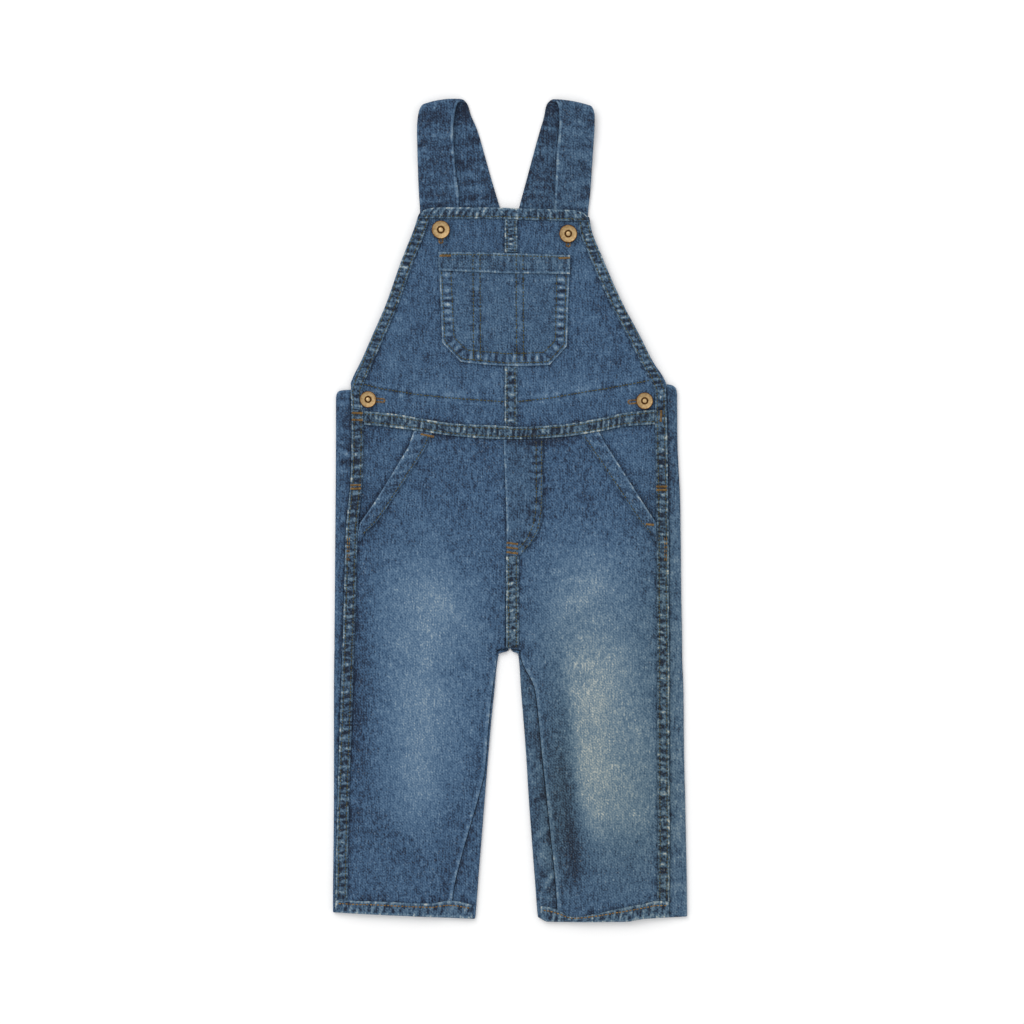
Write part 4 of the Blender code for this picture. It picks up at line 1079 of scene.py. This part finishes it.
makeStrip("bib_pocket", pocketPlan, "pocket", frontHeight, 91, 1.0, panelDenim)
makeStrip("bib_pocket_hem", pocketHemPlan, "pocketHem", onPocket, 92, 0.9)
print("seams, hems and pocket made")


# back bib, hidden behind the front one

backBib = table(
    "y left right",
    (90.7, -111, 108), (110, -94, 90), (150, -60, 56), (190, -35, 31), (203.7, -30.4, 28.4),
)


def makeBackBib():
    bottom, top = backBib["y"][0], backBib["y"][-1]
    u, v = shares(top - bottom, 3.0)[:, None], shares(120.0, 3.0)[None, :]
    y = mix(bottom, top, u) + 0 * v
    left, right = curve(backBib, "left", y), curve(backBib, "right", y)
    x = mix(left, right, v)
    rim = np.minimum(np.minimum(x - left, right - x), np.minimum(y - bottom, top - y))
    wearAndShade = 0.38 + 0.05 * noise(x / 9, y / 14, 95) + 0.2 * bell(rim, 0.8)
    piece = clothShell("back_bib_cloth", x, y, np.full(x.shape, cloth), wearAndShade, yellowing(x, y), rim)
    settle(piece, "back_bib", panelDenim)


makeBackBib()


# straps, each double cloth that goes up from under the bib, over at the shoulder and down

strapRows = {
    "left": {
        "front": table(
            "y out inn zOut zInn",
            (197, -67, -38.6, 1.35, 1.35), (225.5, -67.4, -37.8, 1.35, 1.40),
            (235.5, -68.2, -38, 1.60, 3.70), (249, -68.8, -40, 2.20, 4.00),
            (270.4, -69.4, -42, 3.40, 4.60), (288, -69.7, -42.6, 4.60, 5.40),
            (300, -68.4, -40.6, 5.60, 5.90),
        ),
        "back": table(
            "y out inn",
            (298, -60.6, -30.6), (288, -56, -25.5), (268, -50, -19.5), (249.4, -43, -14.3),
            (236, -39, -10.3), (230.5, -38.6, -8.6), (226.9, -37.6, -7.5), (204, -29.6, -0.7),
        ),
        "shoulder": (300.8, 304.7),
    },
    "right": {
        "front": table(
            "y out inn zOut zInn",
            (197, 57.4, 32.2, 1.35, 1.35), (225.5, 58.6, 33, 1.35, 1.40),
            (235.5, 60, 33.5, 1.60, 3.70), (249, 60.9, 34.2, 2.20, 4.00),
            (270.4, 62.3, 35.2, 3.40, 4.60), (288, 63.4, 37, 4.60, 5.40),
            (299, 63.6, 36.8, 5.60, 5.90),
        ),
        "back": table(
            "y out inn",
            (296.5, 56.2, 26.3), (286, 52.6, 22.8), (268, 47.8, 17.8), (249.4, 39.6, 12.8),
            (236, 34.6, 9.2), (230.5, 34, 7.7), (226.9, 33.2, 6.8), (204, 27.6, 0.7),
        ),
        "shoulder": (299.8, 304.7),
    },
}
strap = {
    "radius": 2.4, "step": 1.1, "low": 1.1, "width": 28.6, "stitchIn": 2.2, "underBib": 229.0,
    "archStart": 284.0, "archLong": 18.0, "edgeWear": 0.45, "shade": 0.16, "shadeLong": 34.0,
    "base": {"left": 0.285, "right": 0.335}, "khaki": {"left": 0.22, "right": 0.38},
    "arch": {"left": 1.7, "right": 1.1}, "under": {"left": 0.01, "right": 0.06},
}
strapCreases = (  # height along the front length, width, height of the crease
    (292, 3.6, -0.35), (282.5, 4.2, 0.30), (273, 3.4, -0.40), (264.5, 4, 0.35), (256, 3.6, -0.30),
    (246, 4.4, 0.35), (237.5, 3.2, -0.25),
)


def runOf(points):
    # the distance along a line at each of its points
    return np.concatenate(([0.0], np.cumsum(np.linalg.norm(np.diff(points, axis=0), axis=1))))


def strapEdges(side):
    # the two edges as lines of points from under the bib to the back bib
    rows = strapRows[side]
    front, back = rows["front"], rows["back"]
    edges = []
    for number, (end, height) in enumerate((("out", "zOut"), ("inn", "zInn"))):
        y = np.linspace(197.0, front["y"][-1], 60)
        points = [np.stack((curve(front, end, y), y, curve(front, height, y)), -1)]
        angle = np.linspace(0, math.pi, 13)
        reach = strap["radius"] * np.sin(angle)
        z = strap["low"] + strap["radius"] * (1 + np.cos(angle))
        turnX = mix(front[end][-1], back[end][-1], angle / math.pi)
        points.append(np.stack((turnX, rows["shoulder"][number] + reach, z), -1))
        y = np.linspace(back["y"][-1], 204.0, 50)
        points.append(np.stack((curve(back, end, y), y, np.full(50, strap["low"])), -1))
        edges.append(np.concatenate(points))
    return edges


def evened(points, count):
    # the same line with even spacing, its corners eased, more so across than in height
    run = runOf(points)
    places = np.linspace(0, run[-1], count)
    line = np.stack([np.interp(places, run, points[:, k]) for k in range(3)], -1)
    for k, rounds in ((0, 24), (1, 2), (2, 2)):
        for _ in range(rounds):
            line[1:-1, k] = (line[:-2, k] + 2 * line[1:-1, k] + line[2:, k]) / 4
    return line


def strapSurface(side):
    outer, inner = strapEdges(side)
    count = 190
    outer, inner = evened(outer, count), evened(inner, count)
    length = np.linalg.norm(np.diff((outer + inner) / 2, axis=0), axis=1).sum()
    return outer, inner, length


def makeStrap(side):
    outer, inner, length = strapSurface(side)
    seed = 110 if side == "left" else 120
    u = shares(length, strap["step"])
    index = u * (len(outer) - 1)
    steps = np.arange(len(outer))
    outer = np.stack([np.interp(index, steps, outer[:, k]) for k in range(3)], -1)
    inner = np.stack([np.interp(index, steps, inner[:, k]) for k in range(3)], -1)
    width = strap["width"]
    v = shares(width, 1.0)
    middle = mix(outer[:, None, :], inner[:, None, :], v[None, :, None])
    atShoulder = smooth((middle[..., 1] - strap["archStart"]) / strap["archLong"])
    middle[..., 1] += strap["arch"][side] * 4 * v * (1 - v) * atShoulder
    x, y = middle[..., 0], middle[..., 1]
    place = (u * length)[:, None] + 0 * v
    across = v[None, :] * width + 0 * place
    rim = np.minimum(np.minimum(across, width - across), np.minimum(place, length - place))
    onFront = smooth((middle[..., 2] - 1.2) / 1.5) * (place < length * 0.5)
    large = np.zeros(x.shape)
    for at, wide, height in strapCreases:
        large += height * bell(y - at, wide)
    crinkle = 0.6 * noise(across / 14, place / 3.2, seed) + 0.4 * noise(across / 5, place / 2.1, seed + 1)
    edgeCrimp = noise(place / 2.4, across / 7, seed + 2) * bell(np.minimum(across, width - across) - 1.8, 2.6)
    dent = bell(np.minimum(across, width - across) - strap["stitchIn"], 0.8)
    free = smooth((y - strap["underBib"]) / 8.0)
    lift = free * (large * onFront + 0.16 * crinkle + 0.12 * edgeCrimp - 0.10 * dent)
    middle[..., 2] += lift * np.where(place < length * 0.48, 1.0, 0.6 * smooth((place - length * 0.52) / 8))
    patches = noise(across / 7, place / 8, seed + 3)
    wearAndShade = strap["base"][side] + 0.21 * crinkle + 0.16 * edgeCrimp + 0.10 * large * onFront + 0.05 * patches
    rubbed = bell(width - across - 1.0, 0.9) * (place < length * 0.49)
    wearAndShade += strap["edgeWear"] * rubbed * (0.85 + 0.4 * noise(place / 3, 1.0, seed + 4))
    wearAndShade += 0.12 * bell(across - 1.0, 0.8) - 0.05 * dent
    # the strap behind the bib is darker: painted shade, strongest just past the shoulder fold
    behind = smooth((place - length * 0.5) / 6)
    shadeUnder = behind * smooth((length * 0.5 + strap["shadeLong"] - place) / 28)
    wearAndShade -= strap["shade"] * shadeUnder + strap["under"][side] * behind
    piece = bentShell(f"strap_{side}_cloth", middle, wearAndShade, strap["khaki"][side], rim, strapCloth)
    settle(piece, f"strap_{side}", panelDenim)


for side in sides:
    makeStrap(side)
print("straps made")


# topstitching: each stitch is a short round thread that dips into the cloth at both ends

stitch = {"pitch": 2.6, "length": 2.25, "radius": 0.33, "wander": 0.16, "sink": 0.30}
threads = {"olive": [], "tan": []}


def layStitches(colour, points, radius=stitch["radius"]):
    run = runOf(points)
    count = max(1, int(run[-1] / stitch["pitch"]))
    seed = len(threads[colour]) + 7
    centres = (np.arange(count) + 0.5) * run[-1] / count
    centres = centres + 0.25 * noise(np.arange(count) * 0.77, 1.0, seed)
    half = stitch["length"] / 2 * (1 + 0.12 * noise(np.arange(count) * 0.91, 5.0, seed))
    ends = []
    for places in (centres - half, centres + half):
        end = np.stack([np.interp(places, run, points[:, k]) for k in range(3)], -1)
        end[:, 0] += stitch["wander"] * noise(places / 2.3, 2.0, seed)
        end[:, 1] += stitch["wander"] * noise(places / 2.3, 9.0, seed)
        ends.append(end)
    threads[colour].append((*ends, radius))


def seamRow(name, start=0.0, end=1.0, colour="olive", radius=stitch["radius"], rows=None):
    kind, top = tops[name]
    length, width = strips[kind]["size"]
    u = np.linspace(start, end, int(length * (end - start)) + 2)
    for across in rows or strips[kind]["rows"]:
        x, y, z, _, _ = top(u[:, None], np.array([[across / width]]))
        layStitches(colour, np.stack((x[:, 0], y[:, 0], z[:, 0] + 0.05), -1), radius)


for side in sides:
    seamRow(f"side_seam_{side}", 0.0, 0.995)
    seamRow(f"pocket_edge_{side}", 0.02, 0.93)
    seamRow(f"leg_hem_{side}", 0.02, 0.98, "tan", 0.46)
    seamRow(f"bib_side_hem_{side}")
seamRow("waist_seam")
seamRow("crotch_seam")
seamRow("bib_top_hem", 0.03, 0.97)
seamRow("bib_seam_upper", 0.02, 0.98)
seamRow("bib_seam_lower", 0.02, 0.98)
seamRow("bib_pocket_hem", 0.02, 0.98, rows=(1.72,))


def overCloth(points, base, lift):
    # a line in plan, in steps of 1 mm, laid on a surface
    points = np.asarray(points, float)
    run = runOf(points)
    places = np.linspace(0, run[-1], int(run[-1]) + 2)
    x, y = np.interp(places, run, points[:, 0]), np.interp(places, run, points[:, 1])
    return np.stack((x, y, base(x, y) + lift), -1)


pocketLines = (
    [(-51.2, 178.6), (-48.6, 126.6), (-35.8, 113.6), (-3.2, 110.4), (28.6, 111.2), (40.6, 124.4),
     (42, 176.4)],
    [(-44.2, 178.4), (-42, 129.6), (-32.6, 120.2), (-3.2, 117.4), (25.2, 118.2), (34, 127.4), (35, 176.2)],
)
for line in pocketLines:
    layStitches("olive", overCloth(line, frontHeight, gap + cloth + 0.02))
for rowX in pocketRowsX:
    layStitches("olive", overCloth([(rowX, 191.5), (rowX, 179.4)], onPocket, gap + cloth + 0.08))
    layStitches("olive", overCloth([(rowX, 178.0), (rowX + 0.4, 111.6)], frontHeight, gap + cloth + 0.02))
flyLines = (
    [(19.6, 52.0), (19.8, 6.0), (17.8, -10.0), (12.6, -21.6), (3.0, -32.0)],
    [(23.6, 52.4), (23.4, 2.0), (21.2, -12.6), (15.4, -23.6), (8.4, -31.4)],
)
for line in flyLines:
    layStitches("olive", overCloth(line, panelHeight, gap + cloth - 0.1))
for line in bibLowerLines:
    layStitches("olive", overCloth(line, frontHeight, 0.06), radius=0.38)
for side in sides:
    inn = inward(side)
    for across in (1.6, 3.0):
        line = [(float(curve(legRows[side], "side", y)) + across * inn, y) for y in (-20.0, -29.0, -38.0)]
        layStitches("tan", overCloth(line, panelHeight, gap + cloth + 0.1))
print("stitch rows laid")


def directions(angle):
    along = np.array((math.cos(angle), math.sin(angle)))
    return along, np.array((-along[1], along[0]))


def tanThreadAt(start, end, base, lift, radius):
    # one thread between two places in plan
    tips = [np.array([[*place, float(base(*place)) + lift]]) for place in (start, end)]
    threads["tan"].append((*tips, radius))


tack = {"width": 1.8, "pitch": 0.55, "radius": 0.28, "lift": 0.16}


def barTack(x, y, angle, length, base):
    # close threads side by side across a bar
    count = int(length / tack["pitch"])
    along, over = directions(math.radians(angle))
    over = over * tack["width"] / 2
    for k in range(count):
        middle = np.array((x, y)) + along * (k / (count - 1) - 0.5) * length
        tanThreadAt(middle - over, middle + over + along * 0.25, base, tack["lift"], tack["radius"])


def onBand(x, y):
    return panelHeight(x, y) + gap + cloth


def onHem(x, y):
    return onPocket(x, y) + gap + cloth


for x, y, angle, length, base in (
    (-48.6, 190.6, 0, 8.0, onHem),
    (40.4, 188.8, 2, 8.0, onHem),
    (-114.4, 73.0, -2, 7.6, onBand),
    (-114.4, 67.8, -2, 7.6, onBand),
    (113.0, 70.6, 88, 8.0, onBand),
    (-115.6, 19.0, 0, 7.4, onBand),
    (-115.6, 16.4, 0, 7.4, onBand),
    (113.4, 18.0, 0, 7.6, onBand),
    (113.4, 15.4, 0, 7.6, onBand),
    (104.5, -10.5, -6, 5.6, onBand),
    (1.6, -24.6, -8, 8.0, onBand),
    (1.4, -28.0, -8, 8.0, onBand),
    (1.6, -31.6, -8, 8.0, onBand),
    (-62.0, 56.2, -12, 9.6, onBand),
):
    barTack(x, y, angle, length, base)


hole = {"pitch": 0.6, "slit": 0.4, "reach": 2.0, "lift": 0.14, "radius": 0.26, "fan": 7}


def buttonhole(x, y, angle, length, base):
    # two close rows of thread beside a slit, fanned round its end
    turn = math.radians(angle)
    along, over = directions(turn)
    for side in (-1, 1):
        for k in range(int(length / hole["pitch"])):
            middle = np.array((x, y)) + along * k * hole["pitch"]
            start, end = middle + over * side * hole["slit"], middle + over * side * hole["reach"]
            tanThreadAt(start, end, base, hole["lift"], hole["radius"])
    tip = np.array((x, y)) + along * length
    for k in range(hole["fan"]):
        out = directions(turn + math.radians(-90 + 30 * k))[0]
        start, end = tip + out * (hole["slit"] + 0.1), tip + out * (hole["reach"] + 0.1)
        tanThreadAt(start, end, base, hole["lift"], hole["radius"])


def threadMesh(name, rows, finish):
    # four rings of five points for each stitch, closed at both ends
    start = np.concatenate([row[0] for row in rows])
    end = np.concatenate([row[1] for row in rows])
    radius = np.concatenate([np.full(len(row[0]), row[2]) for row in rows])
    axis = end - start
    axis /= np.linalg.norm(axis, axis=1, keepdims=True)
    side = np.cross(axis, (0.0, 0.0, 1.0))
    side /= np.linalg.norm(side, axis=1, keepdims=True)
    up = np.cross(side, axis)
    rings = []
    for share, size, lift in ((0.0, 0.4, -1.0), (0.22, 1.0, 0.25), (0.78, 1.0, 0.25), (1.0, 0.4, -1.0)):
        centre = start + (end - start) * share + up * (radius * lift)[:, None] * stitch["sink"] / 0.3
        for k in range(5):
            angle = math.tau * k / 5
            rings.append(centre + (side * math.cos(angle) + up * math.sin(angle)) * (radius * size)[:, None])
    points = np.stack(rings, 1)
    count = len(points)
    faces = []
    one = [(4, 3, 2, 1, 0), (15, 16, 17, 18, 19)]
    for ring in (0, 5, 10):
        one += [(ring + k, ring + (k + 1) % 5, ring + 5 + (k + 1) % 5, ring + 5 + k) for k in range(5)]
    for n in range(count):
        faces += [tuple(i + n * 20 for i in face) for face in one]
    piece = newPiece(name, points.reshape(-1, 3), faces)
    piece.data.materials.append(finish)
    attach(piece, "root")
    print(name, count, "stitches")


buttons = {
    "button_bib_left": (-51.7, 210.0, 1.0, -90, 8.6),
    "button_bib_right": (43.6, 207.0, 0.98, -90, 8.2),
    "button_waist_left": (-106.1, 83.1, 0.9, -4, 11.0),
    "button_waist_right": (100.7, 82.0, 0.92, 184, 11.0),
}
for x, y, size, angle, reach in buttons.values():
    buttonhole(x, y, angle, reach, frontHeight)
threadMesh("topstitching_olive", threads["olive"], oliveThread)
threadMesh("topstitching_tan", threads["tan"], tanThread)


# flat metal buttons: a disc on a shank, with a rolled rim, a sunk ring and a domed middle

buttonForm = {
    "radius": 6.9, "sides": 48, "face": 3.2, "thick": 1.5, "shankIn": 3.7, "shankDeep": 1.45,
    "lip": 0.6, "ringIn": 2.95, "sunk": 0.5, "recess": 0.65, "nub": 0.62,
}


def turnedButton(name, x, y, size):
    form = buttonForm
    ground = float(frontHeight(x, y))
    bpy.ops.object.select_all(action="DESELECT")
    bpy.ops.mesh.primitive_cylinder_add(
        vertices=form["sides"], radius=form["radius"] * size * mm, depth=form["thick"] * mm,
        location=(x * mm, y * mm, (ground + form["face"] - form["thick"] / 2) * mm),
    )
    piece = bpy.context.object
    piece.name = f"{name}_brass"
    bpy.ops.object.transform_apply(location=True, rotation=True, scale=True)
    mesh = piece.data
    bpy.ops.object.mode_set(mode="EDIT")
    bpy.ops.mesh.select_mode(type="FACE")

    def pickEnd(up):
        bpy.ops.mesh.select_all(action="DESELECT")
        work = bmesh.from_edit_mesh(mesh)
        flat = [f for f in work.faces if f.normal.z * up > 0.9 and len(f.verts) > 8]
        flat[0].select_set(True)
        work.select_flush_mode()
        bmesh.update_edit_mesh(mesh)

    pickEnd(-1)
    bpy.ops.mesh.inset(thickness=form["shankIn"] * size * mm)
    bpy.ops.mesh.extrude_region_move(TRANSFORM_OT_translate={"value": (0, 0, -form["shankDeep"] * mm)})
    pickEnd(1)
    bpy.ops.mesh.inset(thickness=form["lip"] * size * mm)
    bpy.ops.mesh.inset(thickness=0.25 * size * mm, depth=-0.14 * mm)
    bpy.ops.mesh.inset(thickness=form["ringIn"] * size * mm)
    bpy.ops.mesh.inset(thickness=0.3 * size * mm, depth=-form["sunk"] * mm)
    bpy.ops.mesh.inset(thickness=form["recess"] * size * mm)
    bpy.ops.mesh.inset(thickness=0.3 * size * mm, depth=form["nub"] * 0.7 * mm)
    bpy.ops.mesh.inset(thickness=0.6 * size * mm, depth=form["nub"] * 0.3 * mm)
    bpy.ops.mesh.select_all(action="DESELECT")
    work = bmesh.from_edit_mesh(mesh)
    work.select_mode = {"EDGE"}
    reach = form["radius"] * size * mm * 0.99
    for edge in work.edges:
        far = all(math.hypot(v.co.x - x * mm, v.co.y - y * mm) > reach for v in edge.verts)
        level = abs(edge.verts[0].co.z - edge.verts[1].co.z) < 1e-6
        if far and level:
            edge.select_set(True)
    bmesh.update_edit_mesh(mesh)
    bpy.ops.mesh.bevel(offset=0.42 * mm, segments=3, affect="EDGES")
    bpy.ops.object.mode_set(mode="OBJECT")
    bpy.ops.object.shade_smooth_by_angle(angle=math.radians(50))
    recessAndRimDark = []
    for v in mesh.vertices:
        off = math.hypot(v.co.x - x * mm, v.co.y - y * mm) / (size * mm)
        # brown patina in the sunk ring; the rolled rim and the side below it are darker too
        sunk = 0.85 * math.exp(-(((off - 2.3) / 0.55) ** 2)) + 0.55 * smooth((off - 6.1) / 0.5)
        lip = 0.2 * math.exp(-(((off - 6.0) / 0.35) ** 2))
        recessAndRimDark.append(float(sunk + lip))
    layer = mesh.attributes.new("recessAndRimDark", "FLOAT", "POINT")
    layer.data.foreach_set("value", recessAndRimDark)
    mesh.materials.append(brass)
    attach(piece, "root")
    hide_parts(name)


for name, (x, y, size, angle, reach) in buttons.items():
    turnedButton(name, x, y, size)
print("buttons made")


# table top, light and camera

studio = {
    "floor": "#fdfdfd", "floorSize": 8.0, "floorDrop": 0.3, "world": 0.84, "key": 78.0, "keySize": 3.0,
    "keyPlace": (-1.9, 2.4, 3.4), "frameWide": 768.0, "distance": 2133.0, "middle": (1.5, -1.1),
    "sensor": 36.0,
}

bpy.ops.object.select_all(action="DESELECT")
bpy.ops.mesh.primitive_plane_add(size=studio["floorSize"], location=(0, 0, -studio["floorDrop"] * mm))
floor = bpy.context.object
floor.name = "table_top"
floorLook = {"Base Color": linear(studio["floor"]), "Roughness": 0.9, "Specular IOR Level": 0.0}
floor.data.materials.append(newFinish("matt white table top", floorLook)[0])

world = bpy.data.worlds.new("studio")
bpy.context.scene.world = world
world.use_nodes = True
sky = world.node_tree.nodes["Background"]
sky.inputs["Color"].default_value = (1, 1, 1, 1)
sky.inputs["Strength"].default_value = studio["world"]
keyData = bpy.data.lights.new("key", "AREA")
keyData.size = studio["keySize"]
keyData.energy = studio["key"]
key = bpy.data.objects.new("key", keyData)
bpy.context.scene.collection.objects.link(key)
key.location = studio["keyPlace"]
key.rotation_euler = (Vector((0, 0, 0)) - key.location).to_track_quat("-Z", "Y").to_euler()

cameraData = bpy.data.cameras.new("camera")
cameraData.sensor_width = studio["sensor"]
cameraData.lens = studio["sensor"] * studio["distance"] / studio["frameWide"]
camera = bpy.data.objects.new("camera", cameraData)
bpy.context.scene.collection.objects.link(camera)
camera.location = [value * mm for value in (*studio["middle"], studio["distance"])]
bpy.context.scene.camera = camera
bpy.context.scene.view_settings.view_transform = "Standard"
print("studio made")
